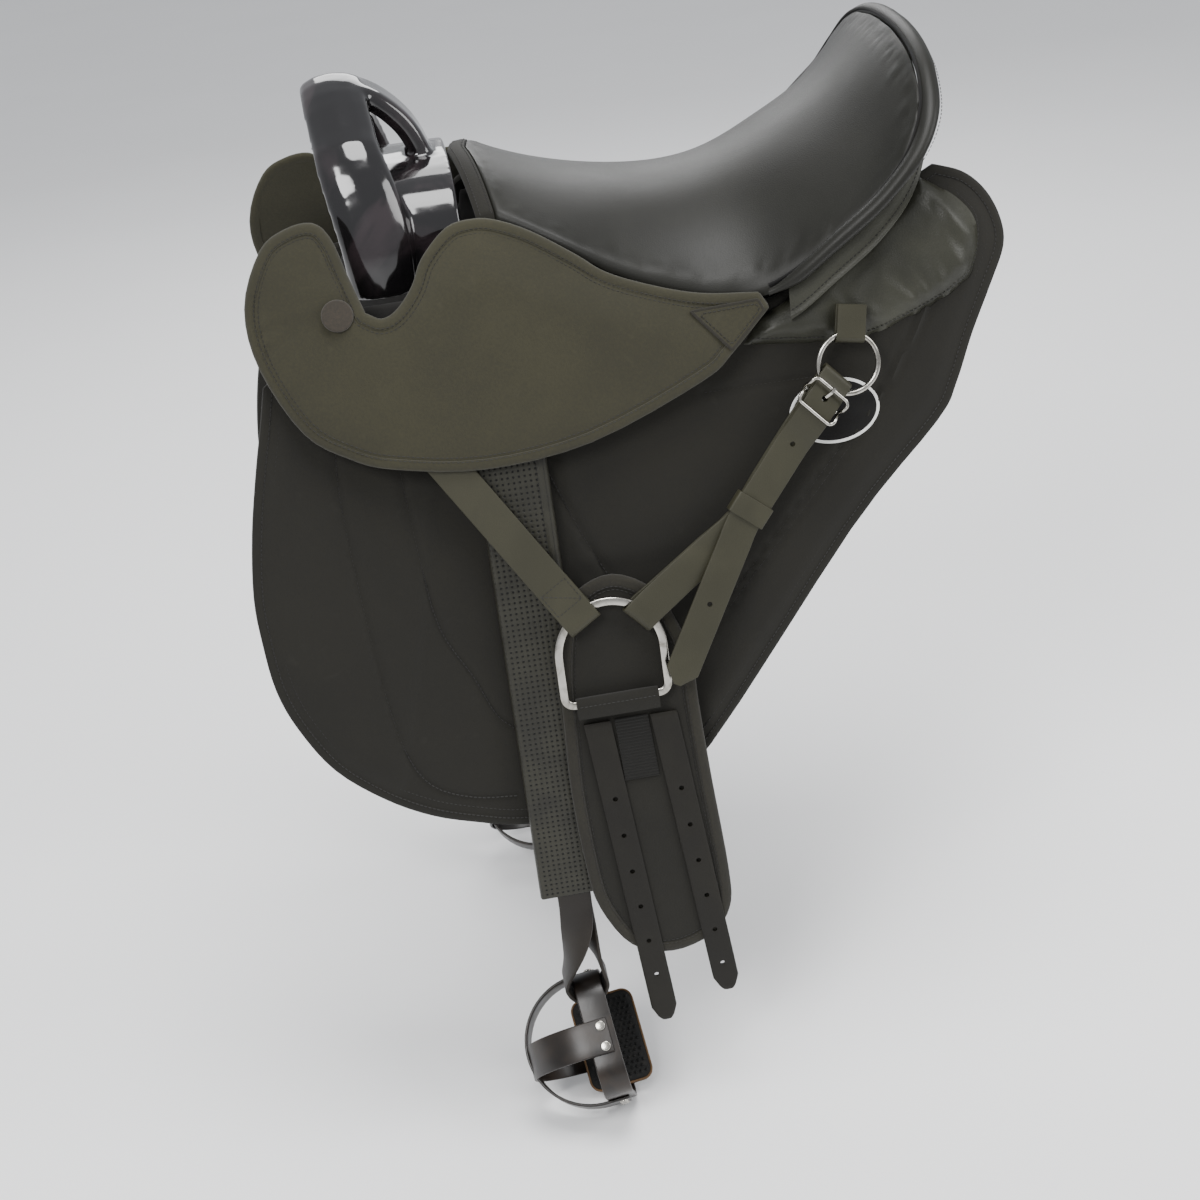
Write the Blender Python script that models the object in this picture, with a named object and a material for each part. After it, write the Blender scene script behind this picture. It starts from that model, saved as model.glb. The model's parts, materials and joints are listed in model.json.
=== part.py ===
"""Trail saddle: moulded tree and pommel handle, padded seat, flaps, ring rigging and caged stirrups.

Metres, +Z up, front of the saddle towards -X, near (left) side towards -Y. The origin is on the centre
plane, under the pommel arch, where the saddle sits on a horse's back or a rack. Side pieces are worked out
once with their outward distance as the second coordinate, and built for both sides.
"""

from math import atan2, cos, exp, hypot, pi, radians, sin

import bmesh
import bpy
import numpy as np
from mathutils import Matrix, Vector

MM = 0.001
GAP = 0.0004
SIDES = {"left": -1, "right": 1}

# The side surface that every flap and strap lies on, as half its width at each height
SIDE_TOP_Z = 0.100
SIDE_TOP_HALF = 0.095
SIDE_SPREAD = 0.150
SIDE_SPREAD_DEPTH = 0.350
STATION = 0.020

# Seat: its edge seen from the side, half width by half width, and the line along its middle
SEAT_EDGE = [
    (-0.108, 0.112, 0.062),
    (-0.085, 0.121, 0.052),
    (-0.045, 0.137, 0.030),
    (-0.015, 0.146, 0.012),
    (0.020, 0.154, -0.004),
    (0.060, 0.161, -0.018),
    (0.105, 0.168, -0.024),
    (0.140, 0.176, -0.010),
    (0.178, 0.183, 0.020),
    (0.215, 0.185, 0.049),
    (0.244, 0.180, 0.080),
    (0.262, 0.162, 0.112),
    (0.270, 0.128, 0.138),
    (0.273, 0.087, 0.153),
    (0.274, 0.043, 0.160),
    (0.274, 0.000, 0.162),
]
SEAT_SPINE = [
    (-0.121, 0.098),
    (-0.090, 0.083),
    (-0.050, 0.068),
    (0.000, 0.058),
    (0.050, 0.052),
    (0.100, 0.056),
    (0.150, 0.074),
    (0.190, 0.098),
]
SEAT_CUSHION = 0.022
SEAT_EDGE_CUSHION = 0.009
SEAT_RIM_ROLL = 0.004
SEAT_CROWN_POWER = 2.3
SEAT_BACK_POWER = 1.35
TREE_THICK = 0.006
CANTLE_ROLL_RADIUS = 0.0085
CANTLE_BAND_THICK = 0.0055
CANTLE_BAND_DEEP = 0.030
BAND_WIDTH = 0.016
BAND_THICK = 0.004
BAND_DROP = 0.003
BAND_BACK_DEEP = 0.012
RAIL_INNER_Y = 0.088
RAIL_OUTER_Y = 0.116
PANEL_TOP_Z = 0.030
PANEL_CLEARANCE = 0.003
RAIL_GAP = 0.0013
SEAT_TREE_GAP = 0.0014

# Pommel handle
HANDLE_BASE = (-0.212, 0.112, 0.0035)
HANDLE_SHOULDER = (-0.215, 0.109, 0.062)
HANDLE_ELBOW = (-0.227, 0.078, 0.124)
HANDLE_TOP = (-0.232, 0.000, 0.166)
HANDLE_WIDE = 0.066
HANDLE_THICK = 0.032
HANDLE_TOP_THICK = 0.026
STRUT_FOOT_X = -0.158
STRUT_FOOT_Z = 0.098
STRUT_WIDE = 0.052
STRUT_THICK = 0.020
FORK_FRONT_X = -0.232
FORK_BACK_X = -0.1378
FORK_TOP_Z = 0.100
FORK_THICK = 0.014
FORK_HALF = 0.112
FORK_FOOT_Z = 0.0032
FORK_LEG = 0.030
FORK_SQUARE = 0.75

# Layers outside the side surface, and the pads under it
FLAP_THICK = 0.009
PANEL_THICK = 0.034
PANEL_EDGE_THICK = 0.010
PANEL_EDGE_ROLL = 0.040
RING_PAD_THICK = 0.006
UPPER_FLAP_THICK = 0.005
UPPER_FLAP_SEAM_LIFT = 0.0225
UPPER_FLAP_FRONT_LIFT = 0.0150
UPPER_FLAP_FULL_LIFT = 0.0315
GUSSET_GAP = 0.0012
GUSSET_THICK = 0.0015
COVER_THICK = 0.015
STRAP_THICK = 0.0025
BILLET_THICK = 0.003
BILLET_WIDE = 0.025
BILLET_FRONT = (-0.085, -0.055, -0.722)
BILLET_REAR = (-0.023, 0.009, -0.700)
BILLET_HOLES = 6
BILLET_HOLE_TOP_Z = -0.4715
BILLET_HOLE_PITCH = 0.0393
HOLE_RADIUS = 0.0024
HOLE_REACH = 0.0018
FRONT_STRAP_WIDE = 0.033
REAR_STRAP_WIDE = 0.031

# Stirrup leather in its sleeve
LEATHER_X = -0.128
LEATHER_WIDE = 0.032
LEATHER_THICK = 0.0035
SLEEVE_WIDE = 0.064
SLEEVE_WALL = 0.002
SLEEVE_TOP_Z = -0.104
SLEEVE_FOOT_Z = -0.575
SLEEVE_LIFT = 0.0157
SLEEVE_TOP_RISE = 0.0021
SLEEVE_RISE_Z = -0.300
STIRRUP_BAR_Z = -0.052
STIRRUP_BAR_LIFT = 0.0223
STIRRUP_BAR_RADIUS = 0.0045
STIRRUP_BAR_BOW = 0.024

# Rings and buckles
DEE_X = -0.064
DEE_Z = -0.325
DEE_LIFT = 0.0376
DEE_RADIUS = 0.048
DEE_DROP = 0.045
DEE_WIRE_WIDE = 0.008
DEE_WIRE_THICK = 0.005
DEE_CORNER = 0.009
RING_X = 0.181
RING_Z = -0.104
RING_RADIUS = 0.027
RING_WIRE = 0.0025
RING_LIFT = 0.0306
BUCKLE_LONG = 0.026
BUCKLE_WIDE = 0.040
BUCKLE_WIRE = 0.0015

# Stirrup, in its own frame: across the foot, up to the arch, towards the toe
STIRRUP_ROLL = 45.0
STIRRUP_INNER = 0.116
STIRRUP_HIGH = 0.118
STIRRUP_STRAP_THICK = 0.004
STIRRUP_STRAP_WIDE = 0.028
STIRRUP_CORNER = 0.026
TREAD_THICK = 0.011
TREAD_DEEP = 0.062
CAGE_REACH = 0.078
CAGE_BAND_WIDE = 0.034
CAGE_STRAP_WIDE = 0.040
CAGE_THICK = 0.003


def half_width(z):
    """Half the width between the side surfaces at height z."""
    return SIDE_TOP_HALF + SIDE_SPREAD * (1 - exp((z - SIDE_TOP_Z) / SIDE_SPREAD_DEPTH))


def side_slope(z):
    """How much the side surface moves out for each metre down."""
    return SIDE_SPREAD / SIDE_SPREAD_DEPTH * exp((z - SIDE_TOP_Z) / SIDE_SPREAD_DEPTH)


def station_point(z, lift):
    slope = side_slope(z)
    length = hypot(1, slope)
    return np.array([half_width(z) + lift / length, z + lift * slope / length])


def on_side(x, z, lift):
    """The point lift outside the side surface. The surface is flat between stations, so layers lie parallel."""
    step = z / STATION
    low = np.floor(step + 1e-9)
    share = step - low
    lower = station_point(low * STATION, lift)
    upper = station_point((low + 1) * STATION, lift)
    out, up = (1 - share) * lower + share * upper
    return np.array([x, out, up])


def smooth_run(points, per=5):
    """Points on a Catmull-Rom curve through the points, as many as per for each stretch."""
    points = np.array(points, float)
    ends = np.vstack([2 * points[0] - points[1], points, 2 * points[-1] - points[-2]])
    made = []
    for i in range(1, len(ends) - 2):
        a, b, c, d = ends[i - 1 : i + 3]
        for k in range(per):
            t = k / per
            square = (2 * a - 5 * b + 4 * c - d) * t**2
            cube = (3 * b - a - 3 * c + d) * t**3
            made.append(0.5 * (2 * b + (c - a) * t + square + cube))
    made.append(points[-1])
    return np.array(made)


def outline(*runs, per=4):
    """A closed outline in metres from smooth runs in millimetres, with a corner where two runs meet."""
    made = []
    for run in runs:
        made.extend(smooth_run(run, per)[:-1] * MM)
    return made


def material(name, colour, roughness, metallic=0.0):
    made = bpy.data.materials.new(name)
    made.use_nodes = True
    shader = made.node_tree.nodes["Principled BSDF"]
    shader.inputs["Base Color"].default_value = (*colour, 1.0)
    shader.inputs["Roughness"].default_value = roughness
    shader.inputs["Metallic"].default_value = metallic
    return made


def face_out(mesh):
    bmesh.ops.recalc_face_normals(mesh, faces=mesh.faces)
    if mesh.calc_volume(signed=True) < 0:
        bmesh.ops.reverse_faces(mesh, faces=mesh.faces)


def finish(name, mesh, finish_material, side=1, pivot=(0, 0, 0), sharp=35):
    """An object from a bmesh in outward coordinates, with its origin at the pivot."""
    bmesh.ops.remove_doubles(mesh, verts=mesh.verts, dist=1e-6)
    place = Vector((pivot[0], pivot[1] * side, pivot[2]))
    for vertex in mesh.verts:
        vertex.co = Vector((vertex.co.x, vertex.co.y * side, vertex.co.z)) - place
    face_out(mesh)
    data = bpy.data.meshes.new(name)
    mesh.to_mesh(data)
    mesh.free()
    data.materials.append(finish_material)
    data.shade_smooth()
    data.set_sharp_from_angle(angle=radians(sharp))
    made = bpy.data.objects.new(name, data)
    made.location = place
    bpy.context.scene.collection.objects.link(made)
    return made


def plate(outline_points, back, front, columns=()):
    """A bmesh of a sheet cut to an outline in x and z and laid on the side surface between two lifts."""
    mesh = bmesh.new()
    corners = [mesh.verts.new((x, 0, z)) for x, z in outline_points]
    mesh.faces.new(corners)
    heights = [z for _, z in outline_points]
    for k in range(int(np.floor(min(heights) / STATION)), int(np.ceil(max(heights) / STATION)) + 1):
        cut = mesh.verts[:] + mesh.edges[:] + mesh.faces[:]
        bmesh.ops.bisect_plane(mesh, geom=cut, plane_co=(0, 0, k * STATION), plane_no=(0, 0, 1), dist=1e-6)
    for x in columns:
        cut = mesh.verts[:] + mesh.edges[:] + mesh.faces[:]
        bmesh.ops.bisect_plane(mesh, geom=cut, plane_co=(x, 0, 0), plane_no=(1, 0, 0), dist=1e-6)
    bmesh.ops.triangulate(mesh, faces=mesh.faces)
    flat = {v: (v.co.x, v.co.z) for v in mesh.verts}
    faces = [tuple(face.verts) for face in mesh.faces]
    rims = [tuple(edge.verts) for edge in mesh.edges if edge.is_boundary]
    lift_of = [value if callable(value) else (lambda x, z, value=value: value) for value in (back, front)]
    inner = {v: mesh.verts.new(on_side(*flat[v], lift_of[0](*flat[v]))) for v in flat}
    outer = {v: mesh.verts.new(on_side(*flat[v], lift_of[1](*flat[v]))) for v in flat}
    bmesh.ops.delete(mesh, geom=mesh.faces[:], context="FACES_ONLY")
    for face in faces:
        mesh.faces.new([outer[v] for v in face])
        mesh.faces.new([inner[v] for v in reversed(face)])
    for a, b in rims:
        mesh.faces.new([inner[a], inner[b], outer[b], outer[a]])
    bmesh.ops.delete(mesh, geom=list(flat), context="VERTS")
    return mesh


def loft(rows, closed_rows=False, closed_across=True, caps=True):
    """A bmesh skin over rows of points, one row for each station, with its ends capped."""
    mesh = bmesh.new()
    made = [[mesh.verts.new(point) for point in row] for row in rows]
    count = len(rows)
    wide = len(rows[0])
    for i in range(count if closed_rows else count - 1):
        for j in range(wide if closed_across else wide - 1):
            a = made[i]
            b = made[(i + 1) % count]
            mesh.faces.new([a[j], a[(j + 1) % wide], b[(j + 1) % wide], b[j]])
    if caps and not closed_rows:
        mesh.faces.new(made[0])
        mesh.faces.new(list(reversed(made[-1])))
    return mesh


def unit(vector):
    vector = np.array(vector, float)
    return vector / np.linalg.norm(vector)


def tangents(path, closed):
    path = np.array(path)
    if closed:
        return [unit(path[(i + 1) % len(path)] - path[i - 1]) for i in range(len(path))]
    inner = [unit(path[i + 1] - path[i - 1]) for i in range(1, len(path) - 1)]
    return [unit(path[1] - path[0]), *inner, unit(path[-1] - path[-2])]


def sweep(path, widths, section, closed=False):
    """A bmesh of a section swept along a path. Widths are the directions of the section's first axis."""
    rows = []
    for centre, along, wide in zip(path, tangents(path, closed), widths):
        wide = np.array(wide, float)
        wide = unit(wide - along * wide.dot(along))
        high = np.cross(along, wide)
        rows.append([centre + wide * u + high * v for u, v in section])
    return loft(rows, closed_rows=closed)


def rectangle(wide, thick):
    u = wide / 2
    v = thick / 2
    return [(-u, -v), (u, -v), (u, v), (-u, v)]


def rounded(wide, thick, radius, steps=3):
    """A rectangle section with round corners."""
    made = []
    for cx, cy, start in ((1, 1, 0), (-1, 1, 90), (-1, -1, 180), (1, -1, 270)):
        for k in range(steps + 1):
            angle = radians(start + 90 * k / steps)
            across = cx * (wide / 2 - radius) + radius * cos(angle)
            made.append((across, cy * (thick / 2 - radius) + radius * sin(angle)))
    return made


def oval(wide, thick, steps=12):
    return [(wide / 2 * cos(2 * pi * k / steps), thick / 2 * sin(2 * pi * k / steps)) for k in range(steps)]


def arc(centre, radius, start, end, steps):
    """Points in a plane on an arc, from one angle in degrees to another."""
    angles = np.radians(np.linspace(start, end, steps + 1))
    return [(centre[0] + radius * cos(a), centre[1] + radius * sin(a)) for a in angles]


def tool_object(name, mesh, side=1):
    """A hidden cutter or part of a union."""
    for vertex in mesh.verts:
        vertex.co.y *= side
    face_out(mesh)
    data = bpy.data.meshes.new(name)
    mesh.to_mesh(data)
    mesh.free()
    made = bpy.data.objects.new(name, data)
    made.hide_render = True
    made.display_type = "WIRE"
    bpy.context.scene.collection.objects.link(made)
    return made


def boolean(target, tool, operation):
    modifier = target.modifiers.new(operation.title(), "BOOLEAN")
    modifier.operation = operation
    modifier.solver = "EXACT"
    modifier.object = tool


# Seat and tree

EDGE_STEPS = 2
SEAT_SHARES = (0.20, 0.42, 0.62, 0.80, 0.94)


def edge_curve():
    """Points round the seat's edge, from its outward front corner to the middle of its back."""
    return smooth_run(SEAT_EDGE, EDGE_STEPS)


def seat_foot(edge):
    """The point of the seat's middle line that belongs to a point of its edge."""
    at = [point[0] for point in SEAT_SPINE]
    x = float(np.interp(edge[0], (SEAT_EDGE[0][0], 0.0, at[-1]), (at[0], 0.0, at[-1])))
    return np.array([x, 0.0, float(np.interp(x, at, [point[1] for point in SEAT_SPINE]))])


def seat_point(edge, share, drop=0.0):
    """A point on the way from the seat's middle line to its edge, drop under the upper surface."""
    foot = seat_foot(edge)
    behind = min(max((edge[0] - 0.16) / 0.08, 0.0), 1.0)
    power = (1 - behind) * SEAT_CROWN_POWER + behind * SEAT_BACK_POWER
    flat = foot + (edge - foot) * share
    return np.array([flat[0], flat[1], foot[2] + (edge[2] - foot[2]) * share**power - drop])


def cushion_depth(share):
    return SEAT_CUSHION + (SEAT_EDGE_CUSHION - SEAT_CUSHION) * share**3


def tree_underside(x, out):
    """The height of the tree's lower face, away from its rails."""
    curve = edge_curve()
    sides = [point for point in curve if point[1] > 0.12]
    at = [point[0] for point in sides]
    edge = np.array([x, np.interp(x, at, [p[1] for p in sides]), np.interp(x, at, [p[2] for p in sides])])
    share = min(out / edge[1], 0.98)
    return seat_point(edge, share, cushion_depth(share) + SEAT_TREE_GAP + TREE_THICK)[2]


def panel_top(x):
    """The height of the panel's upper edge, level where it can be and lower where the tree comes down."""
    top = PANEL_TOP_Z
    while top > -0.06 and tree_underside(x, half_width(top)) - PANEL_CLEARANCE < top:
        top -= 0.001
    return top


def rail_foot(point):
    """The height of the panel's upper face under a point of the tree."""
    top = panel_top(point[0])
    return top + side_slope(top) * (max(point[1], RAIL_INNER_Y) - half_width(top)) + RAIL_GAP


def fan(rows):
    """One closed skin from half rows, each running from the middle line over the edge and back under."""
    mirror = np.array([1, -1, 1])
    both = rows + [[point * mirror for point in row] for row in reversed(rows[:-1])]
    mesh = loft(both, closed_across=False)
    bmesh.ops.remove_doubles(mesh, verts=mesh.verts, dist=1e-6)
    return mesh


def seat_rows():
    rows = []
    for edge in edge_curve():
        row = [seat_point(edge, share) for share in (0.0, *SEAT_SHARES)]
        row += [seat_point(edge, 0.985, 0.0005), seat_point(edge, 1.0, SEAT_RIM_ROLL)]
        row += [seat_point(edge, share, cushion_depth(share)) for share in (1.0, *reversed(SEAT_SHARES), 0.0)]
        rows.append(row)
    return rows


def tree_rows():
    rows = []
    for edge in edge_curve():
        row = [seat_point(edge, share, cushion_depth(share) + SEAT_TREE_GAP) for share in (0.0, *SEAT_SHARES)]
        inner = min(RAIL_INNER_Y / max(edge[1], 0.001), 0.80)
        outer = min(RAIL_OUTER_Y / max(edge[1], 0.001), 0.90)
        under = []
        for share in (SEAT_SHARES[-1], outer + 0.02, outer, inner, inner - 0.03, 0.30, 0.0):
            point = seat_point(edge, share, cushion_depth(share) + SEAT_TREE_GAP + TREE_THICK)
            if share in (outer, inner):
                point[2] = min(point[2], rail_foot(point))
            under.append(point)
        rows.append(row + under)
    return rows


def edge_frames(first_x):
    """Edge points with their outward direction, from first_x on one side round the back to the other side."""
    curve = edge_curve()
    half = []
    for i, point in enumerate(curve):
        if point[0] >= first_x:
            along = unit(curve[min(i + 1, len(curve) - 1)] - curve[i - 1])
            half.append((point, unit(np.cross(along, (0, 0, 1)))))
    half[-1] = (half[-1][0], np.array([1.0, 0, 0]))
    mirror = np.array([1, -1, 1])
    both = half + [(point * mirror, outward * mirror) for point, outward in reversed(half[:-1])]
    return [(p, o if o.dot((p[0] - 0.1, p[1], 0)) > 0 else -o) for p, o in both]


def cantle_roll_mesh():
    frames = edge_frames(0.120)
    path = [p + o * (CANTLE_ROLL_RADIUS + GAP) + np.array([0, 0, -SEAT_RIM_ROLL]) for p, o in frames]
    circle = oval(2 * CANTLE_ROLL_RADIUS, 2 * CANTLE_ROLL_RADIUS, 8)
    return sweep(path, [o for _, o in frames], circle)


def cantle_band_mesh():
    rows = []
    for point, outward in edge_frames(0.135):
        section = ((-0.0035, -0.0155), (0.0008, -0.0122), (0.0010, -0.0110 - CANTLE_BAND_DEEP))
        section += ((0.0010 - CANTLE_BAND_THICK, -0.0110 - CANTLE_BAND_DEEP),)
        rows.append([point + outward * u + np.array([0, 0, v]) for u, v in section])
    return loft(rows)


def front_band_mesh():
    """The strip along the seat's front, from one side over the middle to the other."""
    corner = np.array(SEAT_EDGE[0])
    section = ((0, 0), (1, BAND_DROP), (1, BAND_DROP + BAND_THICK), (0, BAND_BACK_DEEP))
    rows = []
    for share in np.linspace(-1.0, 1.0, 17):
        point = seat_point(corner, abs(share)) * np.array([1, 1 if share >= 0 else -1, 1])
        top = point + np.array([-GAP, 0, -0.001])
        rows.append([top + np.array([-u * BAND_WIDTH, 0, -v]) for u, v in section])
    return loft(rows)


# Pommel handle

def handle_mesh():
    half = smooth_run([HANDLE_BASE, HANDLE_SHOULDER, HANDLE_ELBOW, HANDLE_TOP], 6)
    lean = smooth_run([HANDLE_ELBOW, HANDLE_TOP, (HANDLE_ELBOW[0], -HANDLE_ELBOW[1], HANDLE_ELBOW[2])], 6)
    half = np.vstack([half[:12], lean[: len(lean) // 2 + 1]])
    path = np.vstack([half, (half[:-1] * (1, -1, 1))[::-1]])
    rows = []
    for centre, along in zip(path, tangents(path, False)):
        wide = unit(np.array([1.0, 0, 0]) - along * along[0])
        high = np.cross(along, wide)
        rise = min(max(centre[2] / HANDLE_TOP[2], 0), 1)
        thick = HANDLE_THICK + (HANDLE_TOP_THICK - HANDLE_THICK) * rise**2
        across = HANDLE_WIDE * (0.90 + 0.10 * sin(pi * min(rise * 1.3, 1.0)))
        rows.append([centre + wide * u + high * v for u, v in oval(across, thick, 12)])
    return loft(rows)


def strut_mesh():
    top = (HANDLE_TOP[0] + 0.008, 0, HANDLE_TOP[2])
    foot = (STRUT_FOOT_X, 0, STRUT_FOOT_Z - 0.006)
    path = smooth_run([top, (-0.196, 0, 0.152), (-0.172, 0, 0.126), foot], 4)
    return sweep(path, [(0, 1, 0)] * len(path), rounded(STRUT_WIDE, STRUT_THICK, 0.008))


def fork_line(half, top, foot, count=9):
    """A quarter of a squared arch from the middle top to the foot, with its leg."""
    made = []
    for k in range(count):
        angle = pi / 2 * k / (count - 1)
        high = max(cos(angle), 0.0) ** FORK_SQUARE
        made.append((half * sin(angle) ** FORK_SQUARE, foot + FORK_LEG + (top - foot - FORK_LEG) * high))
    made.append((half, foot))
    return made


def fork_mesh():
    outer = fork_line(FORK_HALF, FORK_TOP_Z, FORK_FOOT_Z)
    inner = fork_line(FORK_HALF - FORK_THICK, FORK_TOP_Z - FORK_THICK, FORK_FOOT_Z)
    pairs = list(zip(outer, inner))
    mirrored = [((-o[0], o[1]), (-i[0], i[1])) for o, i in reversed(pairs)]
    front = FORK_FRONT_X
    back = FORK_BACK_X
    rows = []
    for (oy, oz), (iy, iz) in mirrored + pairs[1:]:
        corners = ((front, oy, oz), (back, oy, oz), (back, iy, iz), (front, iy, iz))
        rows.append([np.array(corner) for corner in corners])
    return loft(rows)


# Straps

def side_normal(z):
    slope = side_slope(z)
    return np.array([0, 1, slope]) / hypot(1, slope)


def strap_frame(start, end):
    """An origin at start with its directions along the strap, across it and outward."""
    along = unit(end - start)
    middle = (start + end) / 2
    outward = side_normal(middle[2])
    outward = unit(outward - along * outward.dot(along))
    return start, along, np.cross(along, outward), outward


def wrap(at, radius, first, last, steps=6):
    """Points (s, n) of a turn round a wire, with angles in degrees from the outward side."""
    angles = np.radians(np.linspace(first, last, steps + 1))
    return [(at[0] + radius * sin(a), at[1] + radius * cos(a)) for a in angles]


def strap_mesh(frame, points, wide, thick):
    """A strap from (s, n, v) points in a frame: along, outward and across."""
    origin, along, across, outward = frame
    path = [origin + along * s + outward * n + across * v for s, n, v in points]
    return sweep(path, [across] * len(path), rectangle(wide, thick))


def box_mesh(frame, low, high):
    """A box between two (s, v, n) corners of a strap's frame."""
    origin, along, across, outward = frame
    rows = []
    for s in (low[0], high[0]):
        corners = ((low[1], low[2]), (high[1], low[2]), (high[1], high[2]), (low[1], high[2]))
        rows.append([origin + along * s + across * v + outward * n for v, n in corners])
    return loft(rows)


def holes_mesh(places):
    """Cutters for round strap holes, from the holes' middles and the directions they go through in."""
    mesh = bmesh.new()
    for middle, through in places:
        turn = Vector((0, 0, 1)).rotation_difference(Vector(through)).to_matrix().to_4x4()
        place = Matrix.Translation(Vector(middle)) @ turn
        bmesh.ops.create_cone(
            mesh,
            cap_ends=True,
            segments=6,
            radius1=HOLE_RADIUS,
            radius2=HOLE_RADIUS,
            depth=2 * HOLE_REACH,
            matrix=place,
        )
    return mesh


def laid(points, lift):
    """Outline points seen on a lifted layer, moved to the heights the layer's stations are named by."""
    return [(x, z - lift * side_slope(z) / hypot(1, side_slope(z))) for x, z in points]


def edge_distance(points):
    """A function giving how far inside an outline a point is."""
    starts = np.array(points)
    ends = np.roll(starts, -1, axis=0)

    def distance(x, z):
        run = ends - starts
        ahead = (x - starts[:, 0]) * run[:, 0] + (z - starts[:, 1]) * run[:, 1]
        t = np.clip(ahead / np.maximum((run**2).sum(axis=1), 1e-12), 0, 1)
        near = starts + run * t[:, None]
        return float(np.hypot(near[:, 0] - x, near[:, 1] - z).min())

    return distance


def dome(points, base, rise, width):
    """A lift that grows from base at an outline by rise, over the width of a padded edge."""
    distance = edge_distance(points)
    return lambda x, z: base + rise * sin(pi / 2 * min(distance(x, z) / width, 1.0))


REAR_WRAP = DEE_WIRE_THICK / 2 + 0.0011 + STRAP_THICK / 2
WRAP_PAST = 0.0058
FRONT_WRAP_PAST = 0.0078
TAB_WRAP = RING_WIRE + 0.0008 + STRAP_THICK / 2
RING_SAG = 0.0094
TAB_SAG = 0.0042
BUCKLE_S = 0.246
BEND_S = 0.118
BEND_V = -0.0185
KEEPER_S = 0.131
KEEPER_HALF = 0.010
BUCKLE_N = 0.0042
BUCKLE_V = -0.0010
TONGUE_WIDE = 0.0024
STRAP_HOLES_S = (0.200, 0.042)
TOP_PLY_N = 0.0108


def rear_frame():
    start = on_side(-0.030, -0.291, DEE_LIFT)
    toward = np.array([RING_X, half_width(RING_Z), RING_Z]) - start
    angle = atan2(toward[2], toward[0])
    back = RING_RADIUS - RING_SAG
    end = on_side(RING_X - back * cos(angle), RING_Z - back * sin(angle), RING_LIFT)
    return strap_frame(start, end), float(np.linalg.norm(end - start))


def bend(s, stations):
    return float(np.interp(s, [a for a, _ in stations], [b for _, b in stations]))


def rear_strap_points(reach):
    """The path: from the buckle's bar down round the dee, up behind, round the ring and down in front."""
    lower_v = [(0.0, 0.0), (0.06, -0.0095), (BEND_S, BEND_V), (BUCKLE_S, BUCKLE_V), (reach, 0.0)]
    upper_v = [(-0.034, -0.0675), (0.05, -0.0400), (BEND_S, BEND_V), (BUCKLE_S, BUCKLE_V), (reach, 0.0)]
    lower_n = [(0.0, REAR_WRAP), (0.05, -0.0004), (BEND_S, -0.0012), (0.200, -0.0010)]
    lower_n += [(BUCKLE_S - 0.012, BUCKLE_N + 0.0034)]
    upper_n = [(-0.034, 0.0064), (0.05, 0.0048), (BEND_S, 0.0020), (0.200, 0.0022)]
    upper_n += [(BUCKLE_S - 0.014, TOP_PLY_N), (BUCKLE_S + 0.005, TOP_PLY_N)]
    upper_n += [(reach - 0.004, TAB_WRAP + 0.0006)]
    made = [(s, n) for s, n in wrap((BUCKLE_S, BUCKLE_N), 0.0034, 205, 0, 6)]
    down = (0.233, 0.217, 0.20, 0.165, 0.14, BEND_S, 0.095, 0.07, 0.045, 0.022, 0.006)
    made += [(s, bend(s, lower_n)) for s in down]
    made += wrap((-WRAP_PAST, 0.0), REAR_WRAP, 0, -180, 6)
    made += [(0.004, -REAR_WRAP), (0.014, -0.0033), (0.05, -0.0035), (0.08, -0.0041)]
    made += [(s, -0.0042) for s in (BEND_S, 0.16, 0.21, reach - 0.006)]
    lower = [(s, n, bend(s, lower_v)) for s, n in made]
    turn = wrap((reach, 0.0), TAB_WRAP, 180, 0, 6)
    down = [reach - 0.006, 0.251, 0.24, 0.230, 0.216, 0.20, 0.165, 0.14, BEND_S]
    down += [0.095, 0.07, 0.045, 0.02, -0.005, -0.034]
    upper = [(s, bend(s, upper_n)) for s in down]
    return lower + [(s, n, 0.0) for s, n in turn] + [(s, n, bend(s, upper_v)) for s, n in upper]


def strap_hole(frame, reach, s):
    """The middle of the strap's upper thickness at s along it, where a hole goes through."""
    origin, along, across, outward = frame
    points = rear_strap_points(reach)
    upper = sorted(points[len(points) // 2 :])
    n = np.interp(s, [p[0] for p in upper], [p[1] for p in upper])
    v = np.interp(s, [p[0] for p in upper], [p[2] for p in upper])
    return origin + along * s + outward * n + across * v


def dee_path():
    """The dee's wire: a straight bar, round corners and a bow."""
    r, c = DEE_RADIUS, DEE_CORNER
    low = DEE_Z - DEE_DROP
    flat = arc((DEE_X, DEE_Z), r, 0, 180, 14)
    flat += [(DEE_X - r, DEE_Z - DEE_DROP / 2)]
    flat += arc((DEE_X - r + c, low + c), c, 180, 270, 3)
    flat += [(DEE_X + k * 0.013, low) for k in (-2, -1, 0, 1, 2)]
    flat += arc((DEE_X + r - c, low + c), c, 270, 360, 3)
    flat += [(DEE_X + r, DEE_Z - DEE_DROP / 2)]
    return flat


def wire_mesh(flat, lift, section):
    path = [on_side(x, z, lift) for x, z in flat]
    along = tangents(path, True)
    widths = [np.cross(a, side_normal(p[2])) for a, p in zip(along, path)]
    return sweep(path, widths, section, closed=True)


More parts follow.
